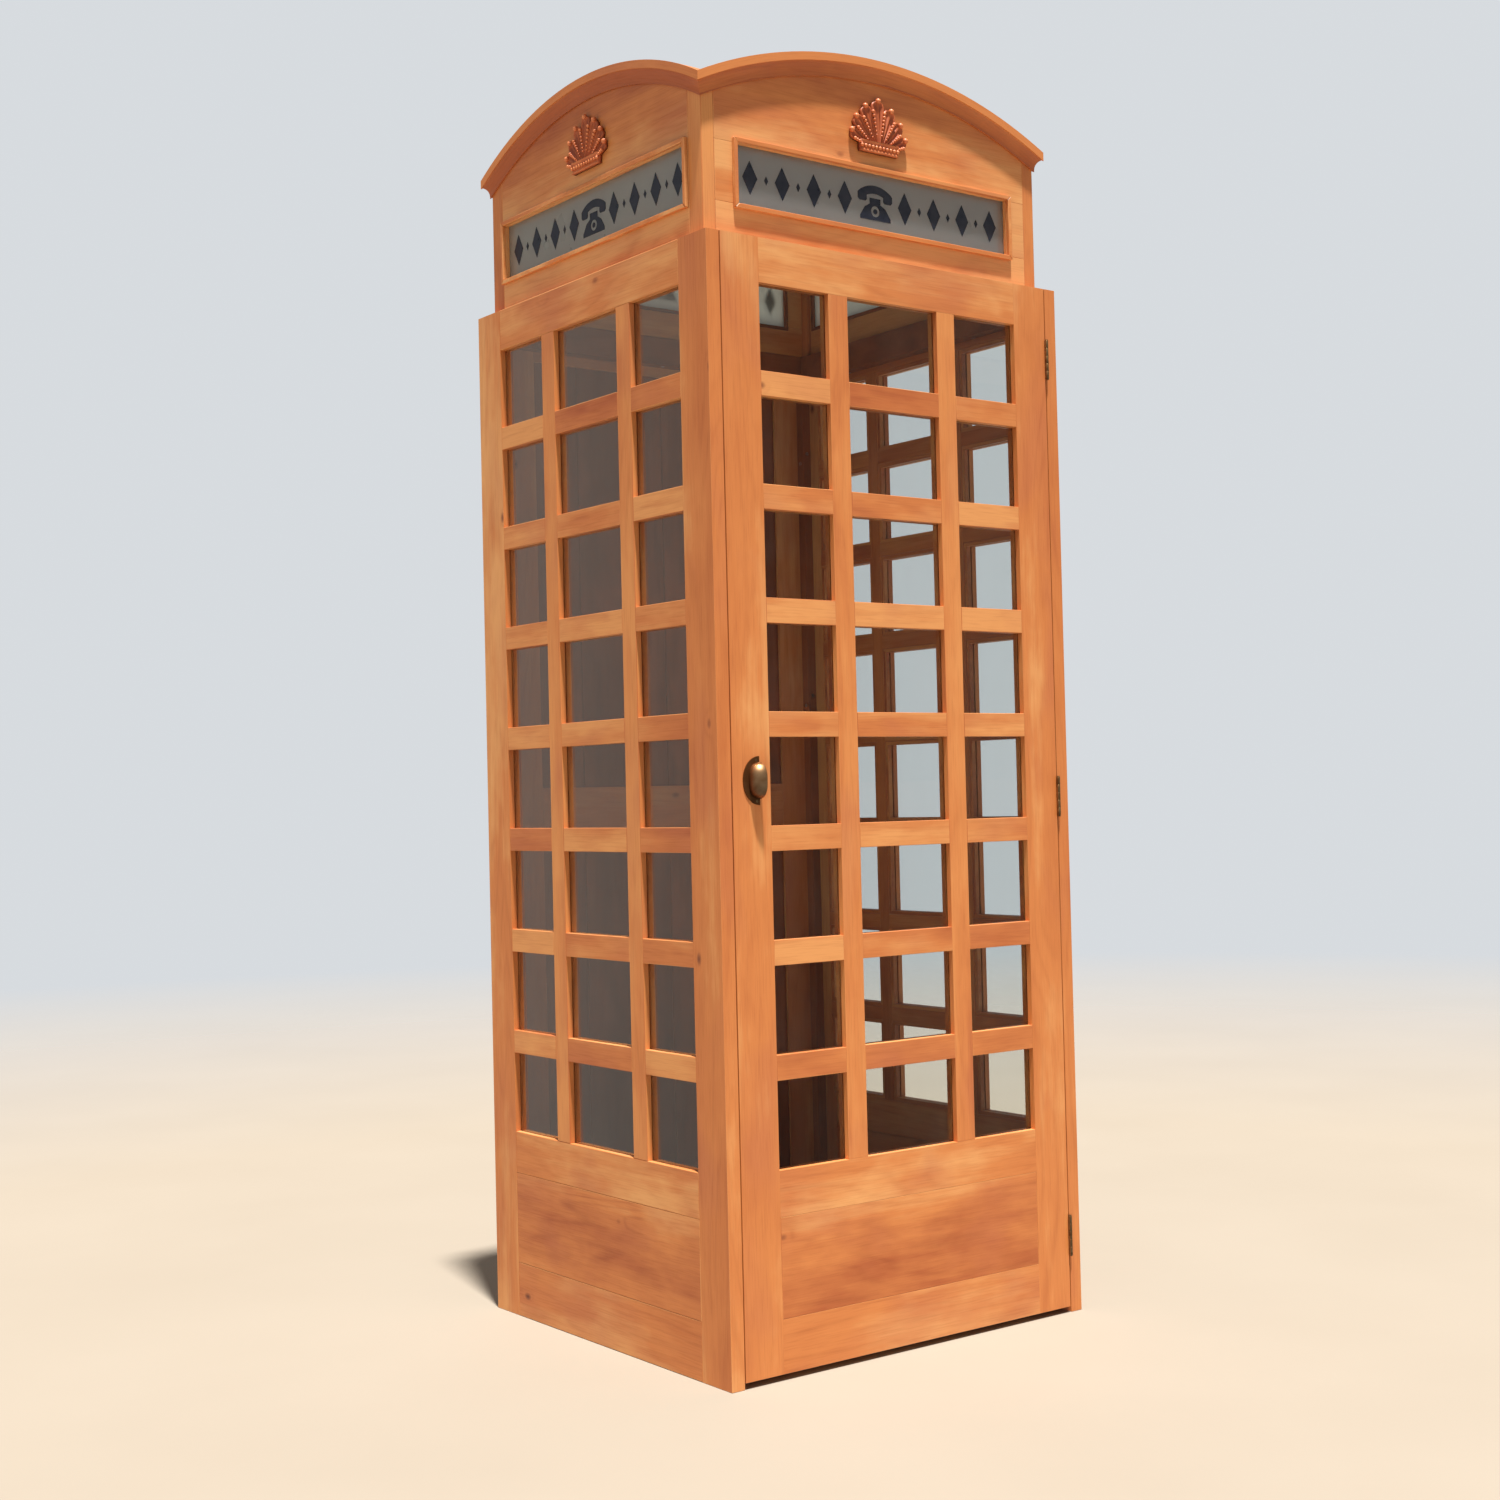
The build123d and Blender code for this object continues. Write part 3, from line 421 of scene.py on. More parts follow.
def pull_bronze(door_face):
    """Golden bronze with rubbed patches: brighter the further it stands out from the door, and
    darkest where it lies against it.
    """
    material, tree, shader = new_material("pull_bronze")
    shader.inputs["Metallic"].default_value = 1.0
    place = object_place(tree)
    rubbed = noise(tree, place, 55.0, 4.0, 0.4)
    pits = noise(tree, place, 700.0, 3.0)
    depth = add_node(tree, "ShaderNodeSeparateXYZ", {0: place}).outputs["Y"]
    dark = door_face - PULL_DARK_DEPTH
    bright = door_face - PULL_BRIGHT_DEPTH
    proud = remap(tree, depth, dark, bright, 0.0, 0.85)
    worn = maths(tree, "ADD", proud, remap(tree, rubbed, 0.3, 0.7, -0.28, 0.20))
    tint = ramp(tree, worn, [
        (0.0, (0.200, 0.078, 0.026)),
        (0.40, (0.265, 0.115, 0.045)),
        (1.0, (0.480, 0.275, 0.135)),
    ])
    plug(tree, shader.inputs["Base Color"], tint)
    plug(tree, shader.inputs["Roughness"], remap(tree, worn, 0.0, 1.0, 0.56, 0.40))
    bump(tree, shader, pits, 0.18, 0.0001)
    return material


def brushed_paint(name, low, high, roughness):
    """Matt paint or moulded plastic with a fine uneven surface."""
    material, tree, shader = new_material(name)
    place = object_place(tree)
    cloud = noise(tree, place, 7.0, 4.0)
    drawn = vector_maths(tree, "MULTIPLY", place, (1.0, 0.05, 1.0))
    strokes = noise(tree, drawn, 260.0, 2.0)
    plug(tree, shader.inputs["Base Color"], ramp(tree, cloud, [(0.3, low), (0.7, high)]))
    rough = remap(tree, strokes, 0.3, 0.7, roughness - 0.06, roughness + 0.06)
    plug(tree, shader.inputs["Roughness"], rough)
    bump(tree, shader, strokes, 0.3, 0.0003)
    return material


def carved_timber():
    """Stained carving: redder than the boards, with painted shade in its hollows."""
    material, tree, shader = new_material("carving")
    place = object_place(tree)
    drawn = vector_maths(tree, "MULTIPLY", place, (1.0, 1.0, 0.12))
    fibres = noise(tree, drawn, 380.0, 3.0)
    cloud = noise(tree, place, 34.0, 3.0)
    # Painted shade: the lower a point of the carving lies, the darker it is painted.
    relief = add_node(tree, "ShaderNodeAttribute", {}, attribute_name="relief").outputs["Fac"]
    depth = maths(tree, "ADD", relief, remap(tree, cloud, 0.3, 0.7, -0.12, 0.12))
    tint = ramp(tree, depth, [
        (0.0, (0.110, 0.019, 0.006)),
        (0.35, (0.370, 0.080, 0.027)),
        (0.72, (0.640, 0.175, 0.066)),
        (1.0, (0.780, 0.280, 0.112)),
    ])
    share = remap(tree, fibres, 0.45, 0.75, 0.0, 0.4)
    tint = blend_colours(tree, share, tint, (0.70, 0.60, 0.55), "MULTIPLY")
    plug(tree, shader.inputs["Base Color"], tint)
    plug(tree, shader.inputs["Roughness"], remap(tree, fibres, 0.3, 0.7, 0.34, 0.50))
    bump(tree, shader, fibres, 0.3, 0.0003)
    return material


# ------------------------------------------------------------------ the CAD nodes

def wear(node_name, material):
    """Give a CAD node its material."""
    node = nodes[node_name]
    node.data.materials.clear()
    node.data.materials.append(material)


def ease(node_name, width, flat_sided=True):
    """Close a CAD mesh's seams, join its flat faces if it has them, and round its edges off."""
    node = nodes[node_name]
    weld = node.modifiers.new("weld", "WELD")
    weld.merge_threshold = WELD_DISTANCE
    if flat_sided:
        flat = node.modifiers.new("flat", "DECIMATE")
        flat.decimate_type = "DISSOLVE"
        flat.angle_limit = FLAT_ANGLE
    rounded = node.modifiers.new("rounded", "BEVEL")
    rounded.width = width
    rounded.segments = 2
    rounded.limit_method = "ANGLE"
    rounded.angle_limit = SHARP_EDGE
    rounded.harden_normals = True


def crosswise(node_name):
    """The horizontal axis that a wall's or a head face's rails run along."""
    return "Y" if node_name.startswith(("left", "right")) else "X"


BOARDS = (CREAM, TAN, WARM)
BARS = ((0.730, 0.325, 0.114), (0.600, 0.200, 0.058), RED)
UPRIGHT_BARS = (PALE, TAN, RED)
PANELS = (CREAM, TAN, RED)
CORNICES = (TAN, WARM, RED)
# Painted shade: the timber inside the booth is the same wood in darker tones, for the shade inside
# it.
INNER_PAINTED_SHADE = ((0.340, 0.098, 0.027), (0.258, 0.067, 0.017), (0.190, 0.044, 0.011))


def timber_along(axis, kind, tones, **settings):
    """Timber whose grain runs along a world axis."""
    return timber(f"timber_{kind}", straight_place(axis), tones, **settings)


def level_timber(kind, tones, **settings):
    """The same timber with its grain along X and along Y."""
    return {axis: timber_along(axis, f"{kind}_{axis}", tones, **settings) for axis in "XY"}


upright_timber = timber_along("Z", "upright", BOARDS)
upright_bar_timber = timber_along("Z", "upright_bar", UPRIGHT_BARS, figure=0.8, knots=0.80)
# The upright inside timber, in darker tones as painted shade.
inner_upright_painted_shade_timber = timber_along("Z", "inner_upright", INNER_PAINTED_SHADE)
rail_timber = level_timber("rail", BOARDS)
bar_timber = level_timber("bar", BARS, figure=0.8, knots=0.80)
panel_timber = level_timber("panel", PANELS, figure=1.6, knots=0.35)
# The level inside timber, in darker tones as painted shade.
inner_painted_shade_timber = level_timber("inner", INNER_PAINTED_SHADE)

for wall in ("left_wall", "right_wall", "door"):
    axis = crosswise(wall)
    wear(f"{wall}_stiles", upright_timber)
    wear(f"{wall}_rails", rail_timber[axis])
    wear(f"{wall}_base_panel", panel_timber[axis])
    wear(f"{wall}_upright_bars", upright_bar_timber)
    wear(f"{wall}_cross_bars", bar_timber[axis])
    wear(f"{wall}_glazing_beads", bar_timber[axis])
    for part in ("stiles", "rails", "base_panel"):
        ease(f"{wall}_{part}", EASED_BOARD)
    for part in ("upright_bars", "cross_bars", "glazing_beads"):
        ease(f"{wall}_{part}", EASED_BAR)

for node_name, material, eased in (
    ("back_wall_stiles", upright_timber, EASED_BOARD),
    ("back_wall_rails", rail_timber["X"], EASED_BOARD),
    ("back_wall_lower_boards", inner_upright_painted_shade_timber, EASED_BOARD),
    ("back_wall_upper_boards", inner_upright_painted_shade_timber, EASED_BOARD),
    ("corner_battens", inner_upright_painted_shade_timber, EASED_BOARD),
    ("door_stops", inner_upright_painted_shade_timber, EASED_BOARD),
    ("head_posts", upright_bar_timber, EASED_BOARD),
    ("door_header", inner_painted_shade_timber["X"], EASED_BOARD),
    ("head_cleats", inner_painted_shade_timber["X"], EASED_BOARD),
    ("floor_bearers", inner_painted_shade_timber["X"], EASED_BOARD),
    ("floor_boards", inner_painted_shade_timber["Y"], EASED_BOARD),
    ("sign_frames", rail_timber["X"], EASED_BOARD),
    ("sign_beads", inner_painted_shade_timber["X"], EASED_BAR),
    ("roof_ribs", inner_painted_shade_timber["Y"], EASED_BAR),
):
    wear(node_name, material)
    ease(node_name, eased)

for side, out in SIDES.items():
    span = "X" if out.x == 0 else "Y"
    low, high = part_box(f"{side}_cornice")
    half_chord = high[0 if span == "X" else 1]
    fillet = arch_radius(half_chord) - CORNICE_FILLET
    # The cornice's fillet is painted pale, as painted light, and its cove below red, as painted
    # shade.
    cornice_timber = timber(
        f"timber_cornice_{side}", arched_place(span, half_chord, high.z), CORNICES,
        figure=0.0, knots=1.0, sap_edge=(fillet + CORNICE_TURN, fillet - CORNICE_TURN),
    )
    # The fascia is painted redder towards the arch, as painted shade under the cornice, and paler
    # lower down, as painted light.
    fascia_timber = timber_along(
        span, f"fascia_{side}", PANELS,
        figure=0.8, knots=0.70, sap_edge=(high.z - FASCIA_PAINTED_LIGHT, high.z - FASCIA_PAINTED_SHADE),
    )
    wear(f"{side}_cornice", cornice_timber)
    wear(f"{side}_fascia", fascia_timber)
    ease(f"{side}_cornice", EASED_BOARD)
    ease(f"{side}_fascia", EASED_BAR)

pane_glass = clear_glass()
for wall in ("left_wall", "right_wall", "door"):
    wear(f"{wall}_panes", pane_glass)
wear("sign_panes", frosted_glass())

wear("cup_pull", pull_bronze(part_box("door_base_panel")[0].y))
bronze = worn_metal("aged_bronze", (0.230, 0.115, 0.045), (0.480, 0.290, 0.130), 0.32, 0.50, 70.0)
for node_name in (
    "hinge_door_leaves", "hinge_wall_leaves", "hinge_pins", "pull_screws",
    "hinge_door_screws", "hinge_wall_screws",
):
    wear(node_name, bronze)
    ease(node_name, EASED_METAL, flat_sided=False)

steel = worn_metal("zinc_steel", (0.38, 0.38, 0.39), (0.62, 0.62, 0.63), 0.28, 0.45, 90.0)
for node_name in ("batten_screws", "head_screws", "catch_strike"):
    wear(node_name, steel)
wear("catch_body", brushed_paint("magnet_case", (0.045, 0.030, 0.022), (0.070, 0.048, 0.036), 0.50))
wear("roof_dome", brushed_paint("roof_primer", (0.260, 0.208, 0.156), (0.315, 0.258, 0.200), 0.60))


# ------------------------------------------------------------------ new pieces

def side_matrix(side, origin):
    """Local x along a side, y up and z out of it, with its origin at a point."""
    out = SIDES[side]
    up = Vector((0, 0, 1))
    along = up.cross(out)
    turn = Matrix((along, up, out)).transposed().to_4x4()
    return Matrix.Translation(origin) @ turn


def finish_piece(name, mesh, matrix, material, body):
    """Put a mesh in the shared frame as a smooth piece that rides on a body."""
    mesh.transform(matrix)
    for face in mesh.polygons:
        face.use_smooth = True
    piece = bpy.data.objects.new(name, mesh)
    scene.collection.objects.link(piece)
    mesh.materials.append(material)
    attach(piece, body)
    return piece


BEAD_SEGMENTS = 12
BEAD_RINGS = 8


class Relief:
    """A carving built up from cushions and beads, with each vertex's height kept for the painted
    shade in its hollows.
    """

    def __init__(self, thickness):
        self.mesh = bmesh.new()
        self.height = self.mesh.verts.layers.float.new("relief")
        self.thickness = thickness

    def vertex(self, x, y, z):
        """A vertex that keeps its height, as a share of the carving's thickness."""
        made = self.mesh.verts.new((x, y, z))
        made[self.height] = z / self.thickness
        return made

    def sheet(self, place, columns, rows):
        """A closed cushion whose front is place(s, t) for s in -1..1 and t in 0..1."""
        shares = [2 * column / columns - 1 for column in range(columns + 1)]
        grid = []
        for row in range(rows + 1):
            grid.append([self.vertex(*place(s, row / rows)) for s in shares])
        for low, high in zip(grid, grid[1:]):
            for a, b, c, d in zip(low, low[1:], high[1:], high):
                self.mesh.faces.new((a, b, c, d))
        rim = grid[0] + [line[-1] for line in grid[1:]] + grid[-1][-2::-1]
        rim += [line[0] for line in grid[-2:0:-1]]
        feet = [self.vertex(v.co.x, v.co.y, 0.0) for v in rim]
        for index in range(len(rim)):
            after = (index + 1) % len(rim)
            self.mesh.faces.new((rim[after], rim[index], feet[index], feet[after]))
        self.mesh.faces.new(feet)

    def bead(self, x, y, z, radius):
        """A ball round a point, half sunk in the carving."""
        ball = bmesh.ops.create_uvsphere(
            self.mesh, u_segments=BEAD_SEGMENTS, v_segments=BEAD_RINGS, radius=radius,
            matrix=Matrix.Translation((x, y, z)),
        )
        for made in ball["verts"]:
            made[self.height] = max(0.0, made.co.z / self.thickness)

    def to_mesh(self, name):
        """The finished carving as a mesh. Nothing can be added to it afterwards."""
        bmesh.ops.recalc_face_normals(self.mesh, faces=self.mesh.faces)
        mesh = bpy.data.meshes.new(name)
        self.mesh.to_mesh(mesh)
        self.mesh.free()
        return mesh


PETALS = 7
PETAL_STEP = math.radians(20.5)
PETAL_LONG = 0.087
PETAL_SHORT = 0.062
PETAL_ROOT = 0.014
PETAL_GRID = (12, 18)                  # faces across and along a petal
PETAL_FILL = 0.98                      # share of its step that a petal fills
PETAL_END = 0.80                       # where a petal starts to round off
PETAL_ROUNDING = 2.4
PETAL_TIP_HALF = 0.0006
TIP_BEAD = 0.0056
TIP_BEAD_PAST = 0.2                    # how far a tip's bead sits inside the tip, in its radius

ROW_BEADS = 7                          # in each row between two petals
ROW_START = 0.26                       # shares of the petal's length
ROW_STEP = 0.088
ROW_BEAD = 0.0017
ROW_BEAD_GROWTH = 0.0003

BAND_HEIGHT = 0.020
BAND_HALF = 0.047
BAND_FLARE = 0.03                      # how much wider the band is at its top
BAND_GRID = (24, 8)
BAND_BEADS = 11
BAND_BEAD = 0.0037
BAND_BEADS_FILL = 0.93                 # share of the band's width that its beads take

# Heights of the carving, in shares of its thickness.
PETAL_FLOOR = 0.32
PETAL_BORDER = 0.42
PETAL_RIB = 0.26
PETAL_RIB_HALF = 0.17                  # in the petal's half-width
PETAL_EDGE = 0.86                      # where a petal's border starts to fall, in its half-width
PETAL_EDGE_FALL = 0.45
PETAL_SWELL = 0.14                     # how much lower a petal is at its two ends
BAND_FLOOR = 0.62
BAND_LIP = 0.26
BAND_EDGE = 0.9
BAND_EDGE_FALL = 0.35
TIP_BEAD_AT = 0.50
ROW_BEAD_AT = 0.62
BAND_BEAD_AT = 0.66


def fallen_edge(s, start, fall):
    """1 over most of a cushion, and less from a place near its two sides outwards."""
    return 1 - fall * max(0.0, abs(s) - start) / (1 - start)


def petal_place(length, turn, thickness):
    """The hollowed front of a petal with a raised border, which leans by an angle."""
    def place(s, t):
        y = PETAL_ROOT + t * length
        past = max(0.0, t - PETAL_END) / (1 - PETAL_END)
        rounded = math.sqrt(max(0.0, 1 - past ** PETAL_ROUNDING))
        half = PETAL_FILL * y * math.tan(PETAL_STEP / 2) * rounded + PETAL_TIP_HALF
        x = s * half
        border = PETAL_BORDER * max(abs(s) ** 3, past ** 2)
        rib = PETAL_RIB * math.exp(-(s / PETAL_RIB_HALF) ** 2) * (1 - past)
        swell = 1 - PETAL_SWELL + PETAL_SWELL * math.sin(math.pi * t)
        z = thickness * (PETAL_FLOOR + border + rib) * swell
        z *= fallen_edge(s, PETAL_EDGE, PETAL_EDGE_FALL)
        return (
            x * math.cos(turn) + y * math.sin(turn),
            -x * math.sin(turn) + y * math.cos(turn),
            z,
        )
    return place


def band_place(thickness):
    """The hollowed front of the base band."""
    def place(s, t):
        lip = BAND_FLOOR + BAND_LIP * abs(2 * t - 1) ** 3
        z = thickness * lip * fallen_edge(s, BAND_EDGE, BAND_EDGE_FALL)
        return s * BAND_HALF * (1 + BAND_FLARE * t), t * BAND_HEIGHT, z
    return place


def petal_length(steps):
    """The length of a petal that leans by a number of steps: the outer ones are shorter."""
    share = min(1.0, abs(steps) / ((PETALS - 1) / 2))
    return PETAL_LONG + (PETAL_SHORT - PETAL_LONG) * share


def fan(side, material):
    """A carved fan of petals edged with beads, over a beaded base band."""
    low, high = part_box(f"{side}_ornament")
    thickness = min(high.x - low.x, high.y - low.y)
    carving = Relief(thickness)
    for number in range(PETALS):
        steps = number - (PETALS - 1) / 2
        turn = steps * PETAL_STEP
        length = petal_length(steps)
        carving.sheet(petal_place(length, turn, thickness), *PETAL_GRID)
        reach = PETAL_ROOT + length - TIP_BEAD * TIP_BEAD_PAST
        z = thickness * TIP_BEAD_AT
        carving.bead(reach * math.sin(turn), reach * math.cos(turn), z, TIP_BEAD)
    for number in range(PETALS + 1):
        steps = number - PETALS / 2
        turn = steps * PETAL_STEP
        length = petal_length(steps)
        for step in range(ROW_BEADS):
            reach = PETAL_ROOT + length * (ROW_START + ROW_STEP * step)
            radius = ROW_BEAD + ROW_BEAD_GROWTH * step
            z = thickness * ROW_BEAD_AT
            carving.bead(reach * math.sin(turn), reach * math.cos(turn), z, radius)

    carving.sheet(band_place(thickness), *BAND_GRID)
    spacing = 2 * BAND_HALF * BAND_BEADS_FILL / (BAND_BEADS - 1)
    for number in range(BAND_BEADS):
        x = (number - (BAND_BEADS - 1) / 2) * spacing
        carving.bead(x, BAND_HEIGHT / 2, thickness * BAND_BEAD_AT, BAND_BEAD)

    face = Vector(((low.x + high.x) / 2, (low.y + high.y) / 2, low.z))
    face -= SIDES[side] * thickness / 2
    mesh = carving.to_mesh(f"{side}_fan")
    piece = finish_piece(f"{side}_fan", mesh, side_matrix(side, face), material, "booth")
    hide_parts(f"{side}_ornament")


MARK_PITCH = {"front": 0.074, "back": 0.074, "left": 0.070, "right": 0.070}
MARKS_EACH_WAY = 4                     # lozenges on each side of the telephone
LOZENGE = (0.0170, 0.0310)             # half-width and half-height
DIAMOND = (0.0045, 0.0085)
MARK_T = 0.0006
PHONE_SCALE = 1.10

# The telephone mark, before it is scaled.
HANDLE_CENTRE = -0.030
HANDLE_TOP = 0.060                     # radii of the handle's two arcs
HANDLE_UNDER = 0.046
DIAL_CENTRE = -0.0145
DIAL_HOLE = 0.0095
DIAL_KNOB = 0.0045


def prism(mesh, outline, depth):
    """A thin plate with a given outline in the xy plane."""
    back = [mesh.verts.new((x, y, 0.0)) for x, y in outline]
    front = [mesh.verts.new((x, y, depth)) for x, y in outline]
    mesh.faces.new(front)
    mesh.faces.new(back[::-1])
    count = len(outline)
    for index in range(count):
        after = (index + 1) % count
        mesh.faces.new((back[index], back[after], front[after], front[index]))


def arc(centre_y, radius, start, end, steps):
    """Points on an arc, with its angles in degrees clockwise from straight up."""
    angles = [math.radians(start + (end - start) * step / steps) for step in range(steps + 1)]
    return [(radius * math.sin(a), centre_y + radius * math.cos(a)) for a in angles]


def handset_outline():
    """A handset that lies across a telephone: an arched handle and two broad ends."""
    end = [
        (0.0385, 0.0150), (0.0385, 0.0050), (0.0350, 0.0015), (0.0215, 0.0015), (0.0185, 0.0045),
    ]
    handle = arc(HANDLE_CENTRE, HANDLE_TOP, -37, 37, 14)
    underside = arc(HANDLE_CENTRE, HANDLE_UNDER, 24, -24, 10)
    return handle + end + underside + [(-x, y) for x, y in reversed(end)]


def body_outline(way):
    """Half of a telephone's body, with half of the round hole for its dial."""
    rim = [
        (0, 0.008), (0.012, 0.008), (0.012, -0.002), (0.023, -0.008), (0.034, -0.024),
        (0.034, -0.030), (0, -0.030),
    ]
    dial = arc(DIAL_CENTRE, DIAL_HOLE, 180, 0, 12)
    return [(way * x, y) for x, y in rim + dial]


def sign_marks(side, material):
    """A telephone between plain lozenges, in dark paint on the face of a sign."""
    low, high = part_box("sign_panes")
    out = SIDES[side]
    reach = high.x if out.y == 0 else high.y
    centre = out * reach
    centre.z = (low.z + high.z) / 2
    marks = bmesh.new()
    prism(marks, handset_outline(), MARK_T)
    prism(marks, body_outline(-1), MARK_T)
    prism(marks, body_outline(1), MARK_T)
    prism(marks, arc(DIAL_CENTRE, DIAL_KNOB, 0, 345, 23), MARK_T)
    bmesh.ops.scale(marks, vec=(PHONE_SCALE, PHONE_SCALE, 1.0), verts=marks.verts[:])
    pitch = MARK_PITCH[side]
    places = [(number * pitch, LOZENGE) for number in range(1, MARKS_EACH_WAY + 1)]
    places += [((number + 0.5) * pitch, DIAMOND) for number in range(1, MARKS_EACH_WAY)]
    for x, (wide, tall) in places:
        for middle in (-x, x):
            corners = [(middle - wide, 0), (middle, -tall), (middle + wide, 0), (middle, tall)]
            prism(marks, corners, MARK_T)
    bmesh.ops.recalc_face_normals(marks, faces=marks.faces)
    mesh = bpy.data.meshes.new(f"{side}_sign_marks")
    marks.to_mesh(mesh)
    marks.free()
    piece = finish_piece(f"{side}_sign_marks", mesh, side_matrix(side, centre), material, "booth")
    for face in piece.data.polygons:
        face.use_smooth = False


LIP_RADIUS = 0.0012
LIP_STEPS = 36
BOWL_REACH = 0.024                     # how far the bowl stands out from its flange's back
BOWL_HALF_HEIGHT = 0.032
BOWL_FULLNESS = 2.5                    # 2 would be an ellipse


def pull_lip(material):
    """The rolled lip along the open edge of the cup pull's bowl."""
    low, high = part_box("cup_pull")
    middle = (low.z + high.z) / 2
    face = low.y + BOWL_REACH
    path = []
    for step in range(LIP_STEPS + 1):
        angle = math.pi * (step / LIP_STEPS - 0.5)
        reach = (BOWL_REACH - LIP_RADIUS) * abs(math.cos(angle)) ** (2 / BOWL_FULLNESS)
        rise = (BOWL_HALF_HEIGHT - LIP_RADIUS) * abs(math.sin(angle)) ** (2 / BOWL_FULLNESS)
        path.append(Vector((high.x, face - reach, middle + math.copysign(rise, angle))))
    curve = bpy.data.curves.new("pull_lip", "CURVE")
    curve.dimensions = "3D"
    curve.bevel_depth = LIP_RADIUS
    curve.bevel_resolution = 3
    spline = curve.splines.new("POLY")
    spline.points.add(len(path) - 1)
    for point, place in zip(spline.points, path):
        point.co = (*place, 1.0)
    drawn = bpy.data.objects.new("pull_lip_curve", curve)
    scene.collection.objects.link(drawn)
    bpy.context.view_layer.update()
    depsgraph = bpy.context.evaluated_depsgraph_get()
    mesh = bpy.data.meshes.new_from_object(drawn.evaluated_get(depsgraph))
    bpy.data.objects.remove(drawn)
    finish_piece("pull_lip", mesh, Matrix.Identity(4), material, "door")


lip_bronze = worn_metal(
    "lip_bronze", (0.160, 0.060, 0.020), (0.300, 0.130, 0.050), 0.40, 0.55, 60.0
)
carving = carved_timber()
paint = sign_paint()
pull_lip(lip_bronze)
for side in SIDES:
    fan(side, carving)
    sign_marks(side, paint)


# ------------------------------------------------------------------ stage, light and camera

FLOOR_LOW = (0.305, 0.258, 0.205)
FLOOR_HIGH = (0.320, 0.272, 0.218)
FLOOR_BOUNCE = (0.400, 0.328, 0.218)   # the floor's colour for the light that it sends back up
FLOOR_ROUGHNESS = 0.7
FLOOR_FADE = (2.5, 9.0)                # distances between which it fades away
FLOOR_HALF = 10.0
FLOOR_DROP = 0.0005


def studio_floor():
    """A pale floor that fades away some metres off, and that no pane or metal mirrors."""
    material, tree, shader = new_material("pale_floor")
    place = object_place(tree)
    cloud = noise(tree, place, 1.3, 4.0)
    pale = ramp(tree, cloud, [(0.3, FLOOR_LOW), (0.7, FLOOR_HIGH)])
    bounced = add_node(tree, "ShaderNodeLightPath", {}).outputs["Is Diffuse Ray"]
    plug(tree, shader.inputs["Base Color"], blend_colours(tree, bounced, pale, FLOOR_BOUNCE))
    shader.inputs["Roughness"].default_value = FLOOR_ROUGHNESS
    length = add_node(tree, "ShaderNodeVectorMath", {0: place}, operation="LENGTH")
    fade = remap(tree, length.outputs["Value"], *FLOOR_FADE, 0.0, 1.0)
    clear = add_node(tree, "ShaderNodeBsdfTransparent", {})
    show(tree, mixed_shader(tree, fade, shader, clear))
    mesh = bpy.data.meshes.new("floor")
    corners = [
        (x * FLOOR_HALF, y * FLOOR_HALF, -FLOOR_DROP)
        for x, y in ((-1, -1), (1, -1), (1, 1), (-1, 1))
    ]
    mesh.from_pydata(corners, [], [(0, 1, 2, 3)])
    mesh.materials.append(material)
    floor = bpy.data.objects.new("floor", mesh)
    scene.collection.objects.link(floor)
    floor.visible_glossy = False


WORLD_SHOWN = 0.74
WORLD_MATT = 0.315                     # how strongly it lights matt surfaces
WORLD_MIRRORED = 0.28
WORLD_TINT = (0.92, 0.96, 1.0)
WORLD_MATT_TINT = (0.98, 0.92, 0.84)


def studio_world():
    """A pale studio all round, which lights surfaces less and warmer than it shows itself."""
    world = bpy.data.worlds.new("studio")
    scene.world = world
    world.use_nodes = True
    tree = world.node_tree
    background = tree.nodes["Background"]
    path = add_node(tree, "ShaderNodeLightPath", {})
    matt = path.outputs["Is Diffuse Ray"]
    tint = blend_colours(tree, matt, WORLD_TINT, WORLD_MATT_TINT)
    plug(tree, background.inputs["Color"], tint)
    matt_less = maths(tree, "MULTIPLY", matt, WORLD_SHOWN - WORLD_MATT)
    mirror = path.outputs["Is Glossy Ray"]
    mirror_less = maths(tree, "MULTIPLY", mirror, WORLD_SHOWN - WORLD_MIRRORED)
    less = maths(tree, "ADD", matt_less, mirror_less)
    plug(tree, background.inputs["Strength"], maths(tree, "SUBTRACT", WORLD_SHOWN, less))


KEY_STRENGTH = 8.6
KEY_WIDTH = math.radians(3)            # its width in the sky
KEY_TINT = (1.0, 0.98, 0.94)
KEY_TOWARD = Vector((-0.065, -0.205, 0.976))     # from the booth towards it
FILL_STRENGTH = 0.48
FILL_WIDTH = math.radians(110)
FILL_TINT = (1.0, 0.93, 0.80)
FILL_TOWARD = Vector((-1.0, -0.12, 0.15))


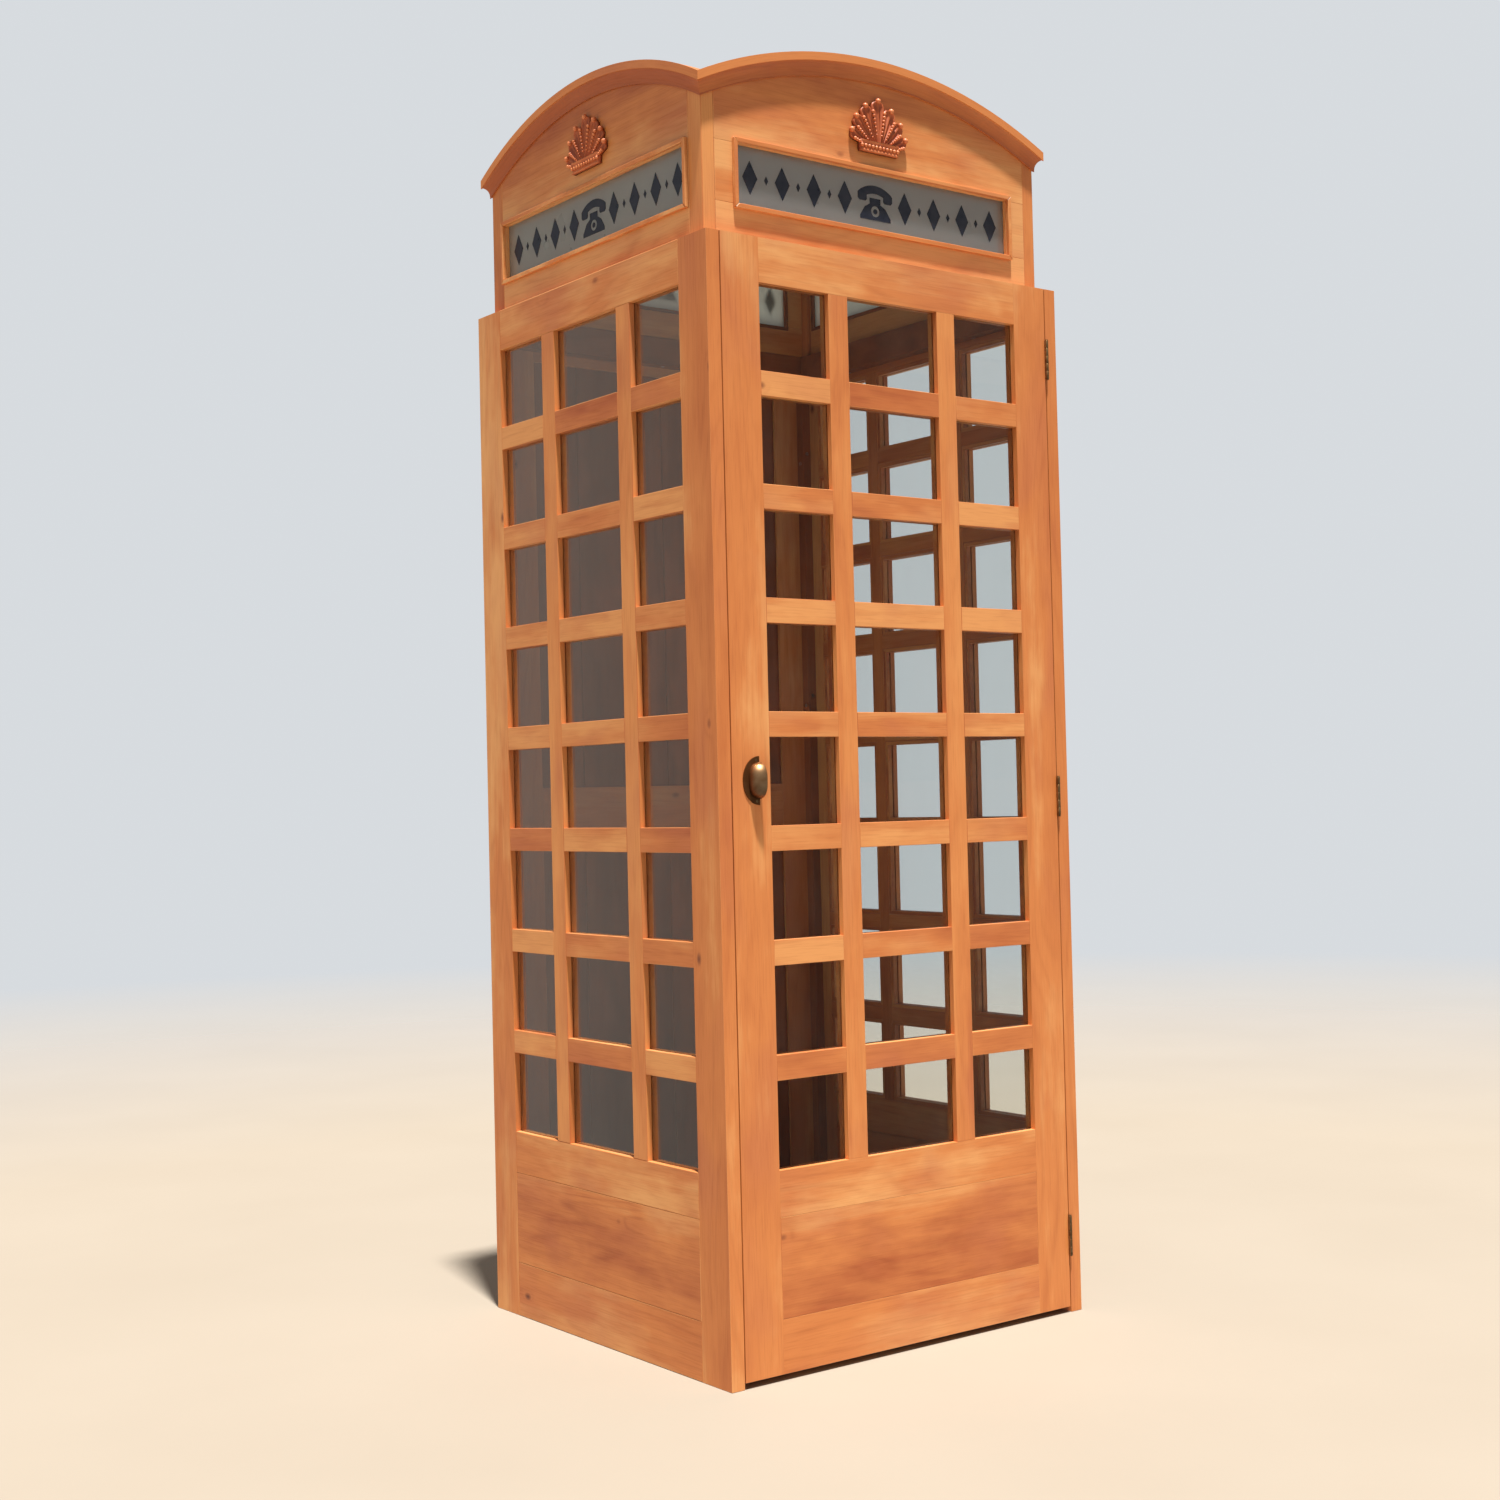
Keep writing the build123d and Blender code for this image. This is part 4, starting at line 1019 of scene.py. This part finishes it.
def sun(name, strength, width, tint, toward):
    """A sun light, from where it stands in the sky and how wide it is there."""
    light = bpy.data.lights.new(name, "SUN")
    light.energy = strength
    light.angle = width
    light.color = tint
    lamp = bpy.data.objects.new(name, light)
    lamp.rotation_mode = "QUATERNION"
    lamp.rotation_quaternion = toward.normalized().to_track_quat("Z", "Y")
    scene.collection.objects.link(lamp)
    return lamp


def studio_lights():
    """A high key from the front, and a very soft fill from low on the left, like sunlit ground."""
    sun("key", KEY_STRENGTH, KEY_WIDTH, KEY_TINT, KEY_TOWARD)
    fill = sun("fill", FILL_STRENGTH, FILL_WIDTH, FILL_TINT, FILL_TOWARD)
    fill.visible_glossy = False


CAMERA_PLACE = Vector((-2.5156, -3.2662, 1.0233))
CAMERA_YAW = 0.6445
CAMERA_PITCH = 0.0250
CAMERA_ROLL = -0.0233
CAMERA_LENS = 49.14
CAMERA_SENSOR = 36.0
CAMERA_SHIFT = (0.0013, -0.0027)
CAMERA_CLIP = (0.05, 60.0)


def photo_camera():
    """The camera at the viewing angle of the photograph."""
    forward = Vector((
        math.sin(CAMERA_YAW) * math.cos(CAMERA_PITCH),
        math.cos(CAMERA_YAW) * math.cos(CAMERA_PITCH),
        math.sin(CAMERA_PITCH),
    ))
    level = Vector((math.cos(CAMERA_YAW), -math.sin(CAMERA_YAW), 0))
    up = level.cross(forward)
    right = math.cos(CAMERA_ROLL) * level + math.sin(CAMERA_ROLL) * up
    top = -math.sin(CAMERA_ROLL) * level + math.cos(CAMERA_ROLL) * up
    data = bpy.data.cameras.new("camera")
    data.sensor_width = CAMERA_SENSOR
    data.lens = CAMERA_LENS
    data.shift_x, data.shift_y = CAMERA_SHIFT
    data.clip_start, data.clip_end = CAMERA_CLIP
    camera = bpy.data.objects.new("camera", data)
    turn = Matrix((right, top, -forward)).transposed().to_4x4()
    camera.matrix_world = Matrix.Translation(CAMERA_PLACE) @ turn
    scene.collection.objects.link(camera)
    scene.camera = camera


studio_floor()
studio_world()
studio_lights()
photo_camera()
scene.view_settings.view_transform = "Standard"
